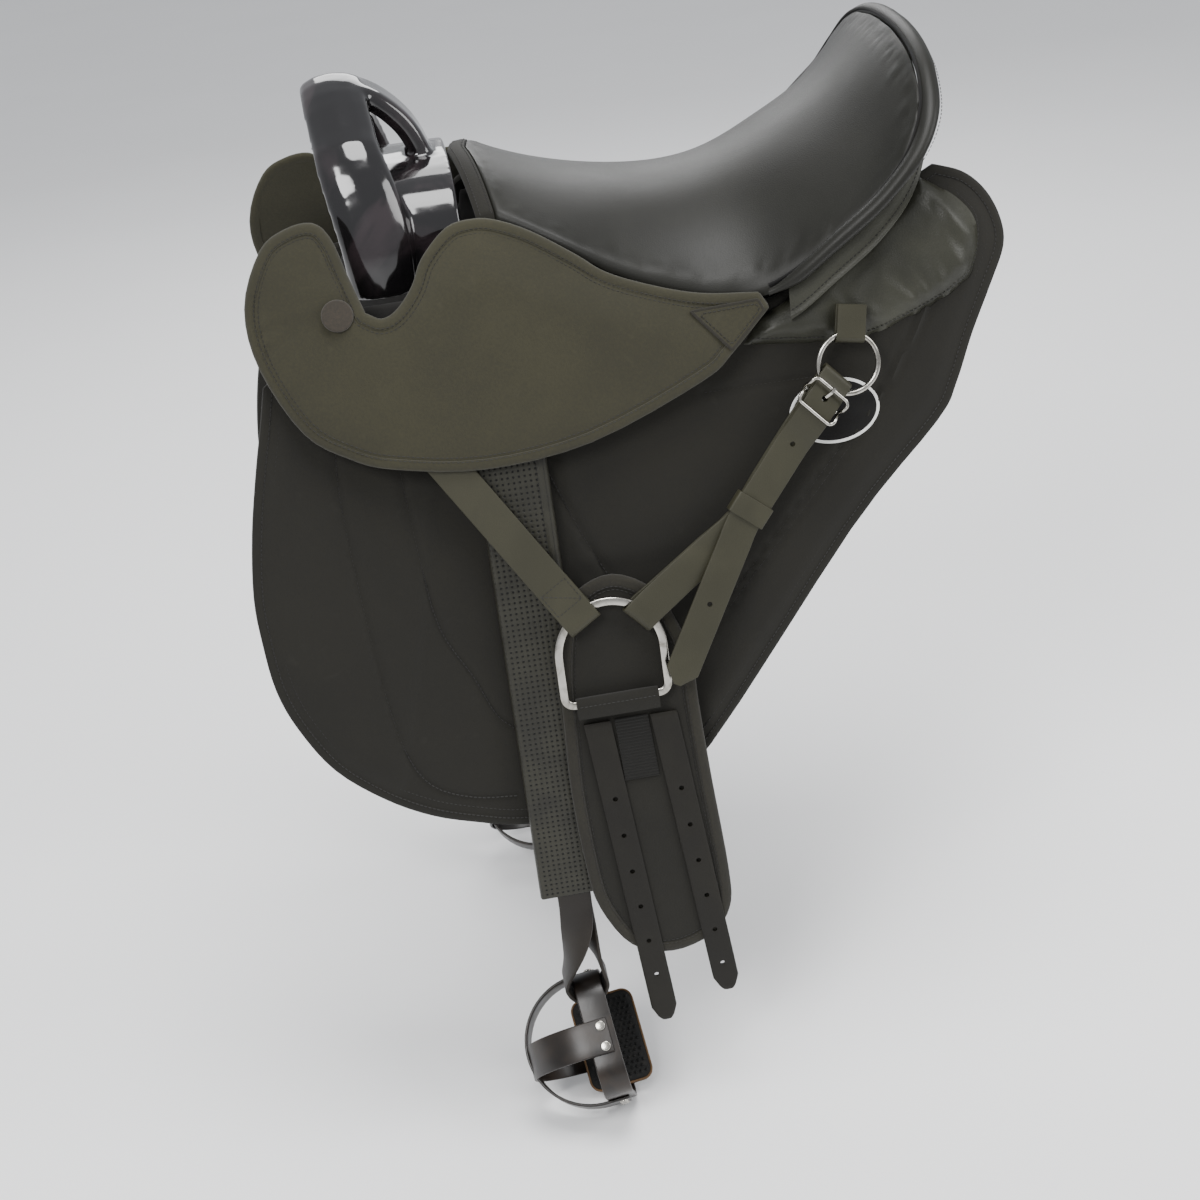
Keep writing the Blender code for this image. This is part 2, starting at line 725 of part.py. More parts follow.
def buckle_mesh(frame):
    half_s = BUCKLE_LONG / 2
    half_v = BUCKLE_WIDE / 2
    out_n = TOP_PLY_N + STRAP_THICK / 2 + GAP + BUCKLE_WIRE
    corner = 0.005
    flat = arc((half_s - corner, half_v - corner), corner, 0, 90, 3)
    flat += [(k * half_s / 4, half_v) for k in (1, 0, -1)]
    flat += arc((-half_s + corner, half_v - corner), corner, 90, 180, 3)
    flat += arc((-half_s + corner, -half_v + corner), corner, 180, 270, 3)
    flat += [(k * half_s / 4, -half_v) for k in (-1, 0, 1)]
    flat += arc((half_s - corner, -half_v + corner), corner, 270, 360, 3)
    origin, along, across, outward = frame
    path = []
    for s, v in flat:
        share = min(abs(s) / (half_s - corner), 1.0)
        n = BUCKLE_N + (out_n - BUCKLE_N) * sin(pi / 2 * share) ** 1.2
        path.append(origin + along * (BUCKLE_S + s) + across * (BUCKLE_V + v) + outward * n)
    wire = oval(2 * BUCKLE_WIRE, 2 * BUCKLE_WIRE, 6)
    return sweep(path, [outward] * len(path), wire, closed=True)


def rod(start, end, radius, steps=12):
    along = unit(end - start)
    side = np.array([0, 0, 1.0]) if abs(along[2]) < 0.9 else np.array([1.0, 0, 0])
    return sweep([start, end], [side, side], oval(2 * radius, 2 * radius, steps))


def tongue_mesh(frame):
    """A ring round the buckle's bar with a prong that rests on the buckle's upper side."""
    origin, along, across, outward = frame
    inner = BUCKLE_WIRE + GAP
    outer = inner + 0.0011
    bar_top = TOP_PLY_N + STRAP_THICK / 2 + GAP + 2 * BUCKLE_WIRE + GAP
    over = bar_top - BUCKLE_N
    tip = BUCKLE_LONG / 2 + 0.0022
    outside = [(sin(radians(a)) * outer, cos(radians(a)) * outer) for a in range(-280, 21, 25)]
    inside = [(sin(radians(a)) * inner, cos(radians(a)) * inner) for a in range(45, -281, -25)]
    prong_top = [(0.0036, over * 0.66), (tip - 0.0052, over + 0.0015), (tip, over + 0.0015)]
    prong_top += [(tip + 0.0004, over)]
    prong_low = [(tip - 0.0048, over), (0.0056, over * 0.55), (outer * 0.97, 0.0002)]
    ring = outside + prong_top + prong_low + inside[1:]
    hub = origin + along * BUCKLE_S + outward * BUCKLE_N
    rows = []
    for v in (BUCKLE_V - TONGUE_WIDE / 2, BUCKLE_V + TONGUE_WIDE / 2):
        rows.append([hub + along * s + across * v + outward * n for s, n in ring])
    return loft(rows)


def keeper_place(frame):
    """The keeper's middle and its direction up the strap, which leans between the bend and the buckle."""
    origin, along, across, _ = frame
    lean = (BUCKLE_V - BEND_V) / (BUCKLE_S - BEND_S)
    middle = origin + along * KEEPER_S + across * (BEND_V + lean * (KEEPER_S - BEND_S))
    return middle, unit(along + across * lean)


def keeper_mesh(frame):
    """A closed band round the strap's three thicknesses."""
    outward = frame[3]
    middle, up_strap = keeper_place(frame)
    across = np.cross(up_strap, outward)
    low_n = -0.0042 - STRAP_THICK / 2 - GAP
    high_n = 0.0022 + STRAP_THICK / 2 + GAP
    half = REAR_STRAP_WIDE / 2 + 0.0010
    wall = 0.0018
    rows = []
    for grow in (0.0, wall):
        wide = half + grow
        low = low_n - grow
        high = high_n + grow
        rows.append([(-wide, low), (wide, low), (wide, high), (-wide, high)])
    loops = []
    inner, outer = rows
    for s, ring in ((-KEEPER_HALF, inner), (-KEEPER_HALF, outer), (KEEPER_HALF, outer), (KEEPER_HALF, inner)):
        loops.append([middle + up_strap * s + across * v + outward * n for v, n in ring])
    return loft(loops, closed_rows=True)


# Stirrup

LOOP_Z = -0.672
LOOP_SPREAD = 0.020
LEATHER_PITCH = 0.0042


def sleeve_lift(z):
    """The lift of the sleeve's middle. Its upper end stands off, so that it clears the flap when it swings."""
    rise = (z - SLEEVE_RISE_Z) / (SLEEVE_TOP_Z - SLEEVE_RISE_Z)
    return SLEEVE_LIFT + SLEEVE_TOP_RISE * min(max(rise, 0.0), 1.0)


def leather_mesh():
    """The leather: over the bar, down its sleeve in two thicknesses, a quarter turn, round the stirrup."""
    bar = on_side(LEATHER_X, STIRRUP_BAR_Z, STIRRUP_BAR_LIFT)
    radius = STIRRUP_BAR_RADIUS + GAP + LEATHER_THICK / 2
    outward = np.array([0, 1.0, 0])
    down = np.array([0, 0, -1.0])
    rows = []
    for angle in np.radians(np.linspace(-90, 90, 9)):
        rows.append((bar + radius * (outward * sin(angle) - down * cos(angle)), np.array([1.0, 0, 0])))
    top = rows
    hug_z = bar[2] - 0.0135
    heights = [hug_z, -0.078, SLEEVE_TOP_Z, -0.14, -0.20, -0.26, SLEEVE_RISE_Z, -0.38, -0.44, -0.50, -0.54]
    heights.append(SLEEVE_FOOT_Z)
    foot = on_side(LEATHER_X, SLEEVE_FOOT_Z, SLEEVE_LIFT)
    turn = []
    for k in range(1, 8):
        share = k / 7
        turn.append((share, SLEEVE_FOOT_Z + (LOOP_Z - SLEEVE_FOOT_Z) * share))
    sides = {}
    for name, sign in (("in", -1), ("out", 1)):
        run = []
        for z in heights:
            lift = sleeve_lift(z) + sign * LEATHER_PITCH / 2
            if z > SLEEVE_TOP_Z:
                near = (STIRRUP_BAR_Z - z) / (STIRRUP_BAR_Z - SLEEVE_TOP_Z)
                lift += (STIRRUP_BAR_LIFT - sleeve_lift(z) + sign * (radius - LEATHER_PITCH / 2)) * (1 - near**2)
            point = on_side(LEATHER_X, z, lift)
            if z == hug_z:
                point = np.array([LEATHER_X, bar[1] + sign * radius, z])
            run.append((point, np.array([1.0, 0, 0])))
        for share, z in turn:
            angle = pi / 2 * (3 * share**2 - 2 * share**3)
            across = np.array([cos(angle), sin(angle), 0])
            apart = np.array([-sin(angle), cos(angle), 0])
            half = LEATHER_PITCH / 2 + (LOOP_SPREAD - LEATHER_PITCH / 2) * share**1.5
            run.append((np.array([LEATHER_X, foot[1], z]) + apart * half * sign, across))
        sides[name] = run
    bottom = []
    for angle in np.radians(np.linspace(0, 180, 11)[1:-1]):
        centre = np.array([LEATHER_X + LOOP_SPREAD * cos(angle), foot[1], LOOP_Z - LOOP_SPREAD * sin(angle)])
        bottom.append((centre, np.array([0, 1.0, 0])))
    ordered = top + sides["out"] + bottom[::-1] + sides["in"][::-1]
    path = [p for p, _ in ordered]
    return sweep(path, [w for _, w in ordered], rectangle(LEATHER_WIDE, LEATHER_THICK), closed=True)


def sleeve_mesh():
    """A flat open tube on the leather."""
    heights = list(np.linspace(SLEEVE_TOP_Z, SLEEVE_FOOT_Z + 0.004, 13))
    stations = {round(h / STATION) * STATION for h in heights[1:-1]}
    heights = sorted(stations | {heights[0], heights[-1]}, reverse=True)
    inner_half = LEATHER_PITCH / 2 + LEATHER_THICK / 2 + GAP
    outer_half = inner_half + SLEEVE_WALL

    def ring(z, half, wide):
        made = []
        for u, v in ((-wide, -half * 0.5), (-wide * 0.9, -half), (wide * 0.9, -half), (wide, -half * 0.5)):
            made.append(on_side(LEATHER_X + u, z, sleeve_lift(z) + v))
        for u, v in ((wide, half * 0.5), (wide * 0.9, half), (-wide * 0.9, half), (-wide, half * 0.5)):
            made.append(on_side(LEATHER_X + u, z, sleeve_lift(z) + v))
        return made

    rows = [ring(z, outer_half, SLEEVE_WIDE / 2) for z in heights]
    rows += [ring(z, inner_half, SLEEVE_WIDE / 2 - SLEEVE_WALL) for z in reversed(heights)]
    return loft(rows, closed_rows=True)


def stirrup_axis():
    foot = on_side(LEATHER_X, SLEEVE_FOOT_Z, SLEEVE_LIFT)
    return np.array([LEATHER_X, foot[1], LOOP_Z])


STIRRUP_PITCH = -8.1
STIRRUP_TOE_SHIFT = -0.004


def stirrup_place():
    """The stirrup's directions across, up and towards the toe, and its centre under its upper corner."""
    roll = radians(STIRRUP_ROLL)
    across = np.array([0, sin(roll), -cos(roll)])
    up = np.array([0, cos(roll), sin(roll)])
    toe = np.array([-1.0, 0, 0])
    axis = stirrup_axis()
    inside = LOOP_SPREAD - LEATHER_THICK / 2
    rest = (inside**2 - (STIRRUP_STRAP_WIDE / 2) ** 2) ** 0.5
    arch_sag = STIRRUP_CORNER - (STIRRUP_CORNER**2 - (LEATHER_WIDE / 2) ** 2) ** 0.5
    corner_top = axis[2] - rest + 0.0006 + arch_sag
    centre_drop = STIRRUP_CORNER + 2**0.5 * (STIRRUP_INNER / 2 - STIRRUP_CORNER)
    centre = np.array([axis[0], axis[1], corner_top - centre_drop])
    pitch = radians(STIRRUP_PITCH)
    turn = np.array([[cos(pitch), 0, sin(pitch)], [0, 1, 0], [-sin(pitch), 0, cos(pitch)]])
    return [turn @ v for v in (across, up, toe)] + [axis + turn @ (centre - axis)]


def stirrup_point(a, h, t):
    across, up, toe, centre = stirrup_place()
    return centre + across * a + up * (h - STIRRUP_INNER / 2) + toe * t


def stirrup_frame_mesh():
    half = STIRRUP_INNER / 2 + STIRRUP_STRAP_THICK / 2
    r = STIRRUP_CORNER + STIRRUP_STRAP_THICK / 2
    flat = []
    for cx, cy, start in ((1, 1, 0), (-1, 1, 90), (-1, -1, 180), (1, -1, 270)):
        flat += arc((cx * (half - r), cy * (half - r)), r, start, start + 90, 5)
    toe = stirrup_place()[2]
    path = [stirrup_point(a, h + STIRRUP_INNER / 2, 0) for a, h in flat]
    section = rounded(STIRRUP_STRAP_WIDE, STIRRUP_STRAP_THICK, 0.0012, 1)
    return sweep(path, [toe] * len(path), section, closed=True)


def tread_mesh():
    """The tread plate on the lower side of the frame."""
    half = STIRRUP_INNER / 2 - 0.0125
    rear = -TREAD_DEEP * 0.56
    front = TREAD_DEEP * 0.44
    low = GAP + 0.0045
    c = 0.010
    flat = arc((half - c, front - c), c, 0, 90, 3) + arc((-half + c, front - c), c, 90, 180, 3)
    flat += arc((-half + c, rear + c), c, 180, 270, 3) + arc((half - c, rear + c), c, 270, 360, 3)
    rows = [[stirrup_point(a, h, t) for a, t in flat] for h in (low, low + TREAD_THICK)]
    return loft(rows)


def cage_line(shorter=0.0):
    """Half way round the toe from one arm of the frame to the other, as distance across and towards the toe."""
    half = STIRRUP_INNER / 2 + STIRRUP_STRAP_THICK + GAP + CAGE_THICK / 2
    bow = arc((0, CAGE_REACH - half - shorter), half, 0, 180, 14)
    return [(half, -0.008), (half, 0.004)] + bow + [(-half, 0.004), (-half, -0.008)]


def cage_side_mesh():
    """The band round the toe, from one arm to the other."""
    path = [stirrup_point(a, STIRRUP_INNER * 0.47, t) for a, t in cage_line()]
    up = stirrup_place()[1]
    return sweep(path, [up] * len(path), rectangle(CAGE_STRAP_WIDE, CAGE_THICK))


def cage_over_mesh():
    """The band from the arch over the toe to the tread's underside."""
    path = [stirrup_point(0.006, STIRRUP_INNER / 2 + h, t) for h, t in cage_line(0.0008)]
    across = stirrup_place()[0]
    return sweep(path, [across] * len(path), rectangle(CAGE_BAND_WIDE, CAGE_THICK))


# Outlines seen from the side, in millimetres

UPPER_FLAP = outline(
    [(-234, 3), (-244, 35), (-253, 66), (-266, 80), (-290, 78), (-313, 64), (-334, 21), (-330, -29),
     (-302, -87), (-267, -113)]
    + [(-230, -127), (-151, -139), (-56, -130), (48, -93), (78, -73), (115, -40)],
    [(115, -40), (108, -28)],
    [(108, -28), (58, -22), (15, -9), (-22, 7), (-46, 25), (-82, 49), (-111, 62), (-131, 65),
     (-153, 61), (-177, 40)]
    + [(-189, 19), (-205, 2), (-220, -4), (-234, 3)],
    per=2,
)
LOWER_FLAP = outline(
    [(-331, -51), (-339, -82), (-350, -121), (-363, -174), (-372, -231), (-372, -275), (-368, -320),
     (-355, -360), (-329, -406)]
    + [(-289, -443), (-248, -468), (-206, -483), (-171, -492), (-120, -496), (-70, -490), (-25, -472),
     (20, -443), (172, -255)]
    + [(262, -167), (282, -137), (301, -95), (323, -54), (338, -24), (338, -1), (328, 23), (310, 41),
     (284, 51)],
    [(284, 51), (230, 26), (190, 0), (150, -30), (108, -42), (58, -36), (15, -23), (-22, -8),
     (-46, 8), (-82, 30), (-108, 40)],
    [(-108, 40), (-124, 40), (-138, 24), (-150, 2), (-172, -6), (-210, -8), (-250, -14), (-300, -30),
     (-331, -51)],
    per=2,
)
REAR_COVER = outline(
    [(93, -72), (179, -81), (222, -77), (288, -53), (309, -33), (315, 2), (298, 27), (269, 46)],
    [(269, 46), (225, 20), (180, -14), (140, -38), (112, -52), (93, -72)],
    per=3,
)
PANEL_ENDS = outline(
    [(278, 29), (300, 18), (308, -20), (296, -70), (250, -112), (150, -135), (0, -142), (-150, -140),
     (-232, -120)],
    [(-232, -120), (-252, -80), (-254, -30), (-240, 2)],
    [(-240, 2), (-141, 2)],
    [(-141, 2), (-132, 4), (-128, 29)],
    per=2,
)
RING_PAD = outline(
    [(-114, -387.2), (-112, -345), (-104, -300), (-88, -266), (-53, -254), (-18, -274), (0, -310),
     (9, -345), (10, -387.2)],
    [(10, -387.2), (-114, -387.2)],
    per=3,
)
BILLET_PAD = outline(
    [(10, -387.8), (14, -464), (21, -568), (18, -608), (-2, -634), (-41, -645), (-79, -630),
     (-104, -585), (-112, -537)]
    + [(-116, -456), (-114, -387.8)],
    [(-114, -387.8), (10, -387.8)],
    per=3,
)
GUSSET = outline([(47, -34), (78, -70), (110, -41)], [(110, -41), (106, -32), (47, -34)], per=1)
BUTTON_X = -0.257
BUTTON_Z = -0.003
BUTTON_RADIUS = 0.013
BILLET_TOP_Z = -0.3925
HANGER_AXIS_Z = -0.3872
PAD_LIFT = 0.0240
BAR_WRAP = 0.0052
BAR_WRAP_BACK = 0.0041
BAR_LOOP_THICK = 0.0018


def billet_outline(x, foot_x, foot_z):
    """A strap with a blunt point, leaning from x at its top to foot_x at its tip."""
    half = BILLET_WIDE / 2
    lean = (foot_x - x) / (foot_z - BILLET_TOP_Z)

    def at(u, z):
        return (x + lean * (z - BILLET_TOP_Z) + u, z)

    return [
        at(-half, BILLET_TOP_Z),
        at(-half, foot_z + 0.016),
        at(-half * 0.6, foot_z + 0.004),
        at(-half * 0.3, foot_z),
        at(half * 0.3, foot_z),
        at(half * 0.6, foot_z + 0.004),
        at(half, foot_z + 0.016),
        at(half, BILLET_TOP_Z),
    ]


def seam_lift(x):
    """The flap's lift along its seam with the seat, which grows towards the back."""
    return UPPER_FLAP_SEAM_LIFT + float(np.interp(x, (0.0, 0.06, 0.115), (0.0, 0.004, 0.009)))


def upper_flap_lift(x, z):
    """The flap's inner face: close at the seat, clear of the straps lower down, and low along its front."""
    seam_at = (-0.33, -0.20, -0.13, -0.05, 0.06, 0.115)
    seam = float(np.interp(x, seam_at, (0.050, 0.030, 0.055, 0.015, -0.030, -0.048)))
    low = float(np.interp(x, (-0.34, -0.235), (UPPER_FLAP_FRONT_LIFT, UPPER_FLAP_FULL_LIFT)))
    share = min(max((seam - z) / 0.050, 0.0), 1.0)
    share = share * share * (3 - 2 * share)
    top = seam_lift(x)
    return top + (low - top) * share


def columns(low, high, step=0.025):
    return [low + step * k for k in range(int((high - low) / step) + 1)]


def build_middle(leather, cloth, moulded, shell):
    finish("tree", fan(tree_rows()), shell)
    finish("seat", fan(seat_rows()), leather, sharp=50)
    finish("seat_front_band", front_band_mesh(), cloth)
    finish("cantle_roll", cantle_roll_mesh(), leather, sharp=60)
    finish("cantle_band", cantle_band_mesh(), cloth)
    handle = finish("pommel_handle", handle_mesh(), moulded, sharp=50)
    boolean(handle, tool_object("strut_part", strut_mesh()), "UNION")
    boolean(handle, tool_object("fork_part", fork_mesh()), "UNION")


def build_side(name, side, leather, cloth, soft, moulded, metal):
    def made(part, mesh, look, pivot=(0, 0, 0), sharp=35):
        return finish(f"{part}_{name}", mesh, look, side, pivot, sharp)

    # Pads and flaps that stay with the tree
    panel = PANEL_ENDS + [(x, panel_top(x) - 0.0005) for x in np.linspace(-0.126, 0.272, 17)]
    panel_face = dome(panel, PANEL_EDGE_THICK, PANEL_THICK - PANEL_EDGE_THICK, PANEL_EDGE_ROLL)
    made("panel", plate(panel, lambda x, z: -panel_face(x, z), -GAP, columns(-0.24, 0.30, 0.060)), soft)
    lower = laid(LOWER_FLAP, FLAP_THICK)
    made("lower_flap", plate(lower, 0.0, FLAP_THICK), soft)
    cover = laid(REAR_COVER, 0.020)
    cover_face = dome(cover, FLAP_THICK + 0.003, COVER_THICK - 0.0028, 0.018)
    made("rear_panel_cover", plate(cover, FLAP_THICK + GAP, cover_face, columns(0.10, 0.31, 0.035)), leather)
    pad = laid(RING_PAD, PAD_LIFT)
    pad_face = PAD_LIFT + RING_PAD_THICK
    made("ring_pad", plate(pad, PAD_LIFT, pad_face), soft)

    # Upper flap, opening outward along its seam with the seat
    seam_front = on_side(-0.131, 0.060, UPPER_FLAP_SEAM_LIFT)
    flap = laid(UPPER_FLAP, 0.025)

    def flap_face(x, z):
        return upper_flap_lift(x, z) + UPPER_FLAP_THICK

    made("upper_flap", plate(flap, upper_flap_lift, flap_face, columns(-0.32, 0.10, 0.035)), soft, seam_front)
    gusset = laid(GUSSET, 0.028)

    def gusset_lift(x, z):
        return flap_face(x, z) + GUSSET_GAP

    def gusset_face(x, z):
        return gusset_lift(x, z) + GUSSET_THICK

    made("flap_gusset", plate(gusset, gusset_lift, gusset_face, columns(0.055, 0.105)), cloth, seam_front)
    button_lift = upper_flap_lift(BUTTON_X, BUTTON_Z) + UPPER_FLAP_THICK + 0.0022
    face = on_side(BUTTON_X, BUTTON_Z, button_lift)
    front = on_side(BUTTON_X, BUTTON_Z, button_lift + 0.004)
    out = unit(front - face)
    side_way = np.array([1.0, 0, 0])
    up_way = np.cross(side_way, out)
    rings = []
    for share, high in ((0.85, 0.0), (1.0, 0.0012), (0.85, 0.0034), (0.45, 0.0044)):
        circle = oval(2 * BUTTON_RADIUS * share, 2 * BUTTON_RADIUS * share, 20)
        rings.append([face + out * high + side_way * u + up_way * v for u, v in circle])
    made("flap_button", loft(rings), leather, seam_front)

    # Ring rigging
    frame, reach = rear_frame()
    skin = strap_mesh(frame, rear_strap_points(reach), REAR_STRAP_WIDE, STRAP_THICK)
    strap = made("rear_strap", skin, leather)
    slot = box_mesh(frame, (BUCKLE_S - 0.006, -0.0035, -0.0026), (BUCKLE_S + 0.0112, 0.0015, 0.020))
    boolean(strap, tool_object(f"slot_tool_{name}", slot, side), "DIFFERENCE")
    places = [(strap_hole(frame, reach, s), frame[3]) for s in STRAP_HOLES_S]
    boolean(strap, tool_object(f"strap_holes_{name}", holes_mesh(places), side), "DIFFERENCE")
    buckle = made("strap_buckle", buckle_mesh(frame), metal, sharp=60)
    origin, along, across, outward = frame
    bar = origin + along * BUCKLE_S + outward * BUCKLE_N
    bar_ends = [bar + across * (v + BUCKLE_V) for v in (-BUCKLE_WIDE / 2, BUCKLE_WIDE / 2)]
    bar_rod = rod(*bar_ends, BUCKLE_WIRE * 0.96)
    boolean(buckle, tool_object(f"bar_part_{name}", bar_rod, side), "UNION")
    made("buckle_tongue", tongue_mesh(frame), metal, bar)
    made("strap_keeper", keeper_mesh(frame), leather, keeper_place(frame)[0])
    wire = rounded(DEE_WIRE_WIDE, DEE_WIRE_THICK, 0.0018, 1)
    made("girth_ring", wire_mesh(dee_path(), DEE_LIFT, wire), metal, sharp=60)
    circle = arc((RING_X, RING_Z), RING_RADIUS, 0, 360, 24)[:-1]
    made("rear_ring", wire_mesh(circle, RING_LIFT, oval(2 * RING_WIRE, 2 * RING_WIRE, 8)), metal, sharp=60)

    tab_angle = radians(80)
    wrap_at = RING_RADIUS - TAB_SAG
    tab_start = on_side(RING_X + wrap_at * cos(tab_angle), RING_Z + wrap_at * sin(tab_angle), RING_LIFT)
    tab_end = on_side(RING_X + 0.055 * cos(tab_angle), RING_Z + 0.055 * sin(tab_angle), RING_LIFT)
    tab_frame = strap_frame(tab_start, tab_end)
    tab = [(s, TAB_WRAP, 0.0) for s in (0.028, 0.014)]
    tab += [(s, n, 0.0) for s, n in wrap((0.0, 0.0), TAB_WRAP, 0, -180, 8)]
    tab += [(s, -TAB_WRAP, 0.0) for s in (0.014, 0.028)]
    made("ring_tab", strap_mesh(tab_frame, tab, 0.026, STRAP_THICK), leather)

    wire_at = on_side(-0.0902, -0.2848, DEE_LIFT)
    anchor = on_side(-0.196, -0.120, 0.0236)
    front_frame = strap_frame(wire_at, anchor)
    long = float(np.linalg.norm(anchor - wire_at))
    run = [(s, REAR_WRAP, 0.0) for s in (long, long * 0.75, long * 0.5, long * 0.25, 0.006)]
    run += [(s, n, 0.0) for s, n in wrap((-FRONT_WRAP_PAST, 0.0), REAR_WRAP, 0, -180, 8)]
    run += [(0.005, -REAR_WRAP, 0.0), (0.014, -0.0008, 0.0), (0.036, 0.0012, 0.0)]
    made("front_strap", strap_mesh(front_frame, run, FRONT_STRAP_WIDE, STRAP_THICK), leather)

    low = DEE_Z - DEE_DROP
    bar_middle = on_side(DEE_X, low, DEE_LIFT)
    normal = side_normal(low)
    down = np.array([0, normal[2], -normal[1]])
    turn = np.radians(np.linspace(90, -90, 9))
    loop = [bar_middle + normal * BAR_WRAP + down * k for k in (0.012, 0.006)]
    loop += [bar_middle + normal * (BAR_WRAP * sin(a)) - down * (BAR_WRAP * cos(a)) for a in turn]
    loop += [bar_middle - normal * BAR_WRAP_BACK + down * k for k in (0.006, 0.012)]
    loop_x = [np.array([u * (DEE_RADIUS - DEE_CORNER - 0.001), 0, 0]) for u in (-1, 1)]
    rows = []
    thick = BAR_LOOP_THICK
    way = tangents(loop, False)
    for shift in loop_x:
        outer = [p + np.cross(a, (1.0, 0, 0)) * thick / 2 for p, a in zip(loop, way)]
        inner = [p - np.cross(a, (1.0, 0, 0)) * thick / 2 for p, a in zip(loop, way)]
        rows.append([p + shift for p in outer + inner[::-1]])
    made("bar_loop", loft(rows), leather)

    # Girth straps hanging from the ring pad
    hanger = on_side(DEE_X, HANGER_AXIS_Z, pad_face)
    made("billet_pad", plate(laid(BILLET_PAD, PAD_LIFT), PAD_LIFT, pad_face), soft, hanger)
    billet = pad_face + GAP
    for part, top_x, foot_x, foot_z in (("billet_front", *BILLET_FRONT), ("billet_rear", *BILLET_REAR)):
        cut = billet_outline(top_x, foot_x, foot_z)
        strap = made(part, plate(cut, billet, billet + BILLET_THICK), leather, hanger)
        lean = (foot_x - top_x) / (foot_z - BILLET_TOP_Z)
        places = []
        for k in range(BILLET_HOLES):
            z = BILLET_HOLE_TOP_Z - k * BILLET_HOLE_PITCH
            x = top_x + lean * (z - BILLET_TOP_Z)
            places.append((on_side(x, z, billet + BILLET_THICK / 2), side_normal(z)))
        boolean(strap, tool_object(f"{part}_holes_{name}", holes_mesh(places), side), "DIFFERENCE")
    web = [(-0.0685, BILLET_TOP_Z), (-0.0660, -0.455), (-0.0335, -0.455), (-0.0375, BILLET_TOP_Z)]
    made("elastic_web", plate(web, billet, billet + 0.0015), cloth, hanger)

    # Stirrup leather, its sleeve, its bar and the stirrup
    bar_at = on_side(LEATHER_X, STIRRUP_BAR_Z, STIRRUP_BAR_LIFT)
    bow_centre = bar_at - np.array([0, 0, STIRRUP_BAR_BOW])
    foot_z = STIRRUP_BAR_Z - STIRRUP_BAR_BOW - 0.009
    feet = [on_side(LEATHER_X + u * STIRRUP_BAR_BOW, foot_z, FLAP_THICK + GAP + STIRRUP_BAR_RADIUS) for u in (-1, 1)]
    turns = np.radians(np.linspace(180, 0, 13))
    radial = [np.array([cos(a), 0, sin(a)]) for a in turns]
    path = [feet[0], *(bow_centre + way * STIRRUP_BAR_BOW for way in radial), feet[1]]
    circle = oval(2 * STIRRUP_BAR_RADIUS, 2 * STIRRUP_BAR_RADIUS, 10)
    made("stirrup_bar", sweep(path, [radial[0], *radial, radial[-1]], circle), metal, sharp=60)
    made("stirrup_leather", leather_mesh(), leather, bow_centre)
    made("leather_sleeve", sleeve_mesh(), leather, bow_centre)
    axis = stirrup_axis()
    made("stirrup_frame", stirrup_frame_mesh(), moulded, axis)
    made("stirrup_tread", tread_mesh(), moulded, axis)
    cage = made("toe_cage", cage_side_mesh(), moulded, axis)
    boolean(cage, tool_object(f"cage_part_{name}", cage_over_mesh(), side), "UNION")


def main():
    for existing in list(bpy.data.objects):
        bpy.data.objects.remove(existing, do_unlink=True)
    leather = material("leather", (0.030, 0.030, 0.026), 0.45)
    cloth = material("cloth", (0.022, 0.022, 0.020), 0.85)
    soft = material("padded_cloth", (0.030, 0.027, 0.020), 0.90)
    moulded = material("moulded_plastic", (0.010, 0.010, 0.011), 0.18)
    shell = material("tree_shell", (0.020, 0.020, 0.020), 0.60)
    metal = material("nickel", (0.75, 0.74, 0.72), 0.20, 1.0)
    build_middle(leather, cloth, moulded, shell)
    for name, side in SIDES.items():
        build_side(name, side, leather, cloth, soft, moulded, metal)


main()
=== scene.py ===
"""Trail saddle on its frame: seat, brushed flaps, ring rigging and caged stirrups."""

import json
from math import atan2, cos, hypot, pi, radians, sin

import bmesh
import bpy
import numpy as np
from mathutils import Matrix, Vector
from mathutils.geometry import delaunay_2d_cdt

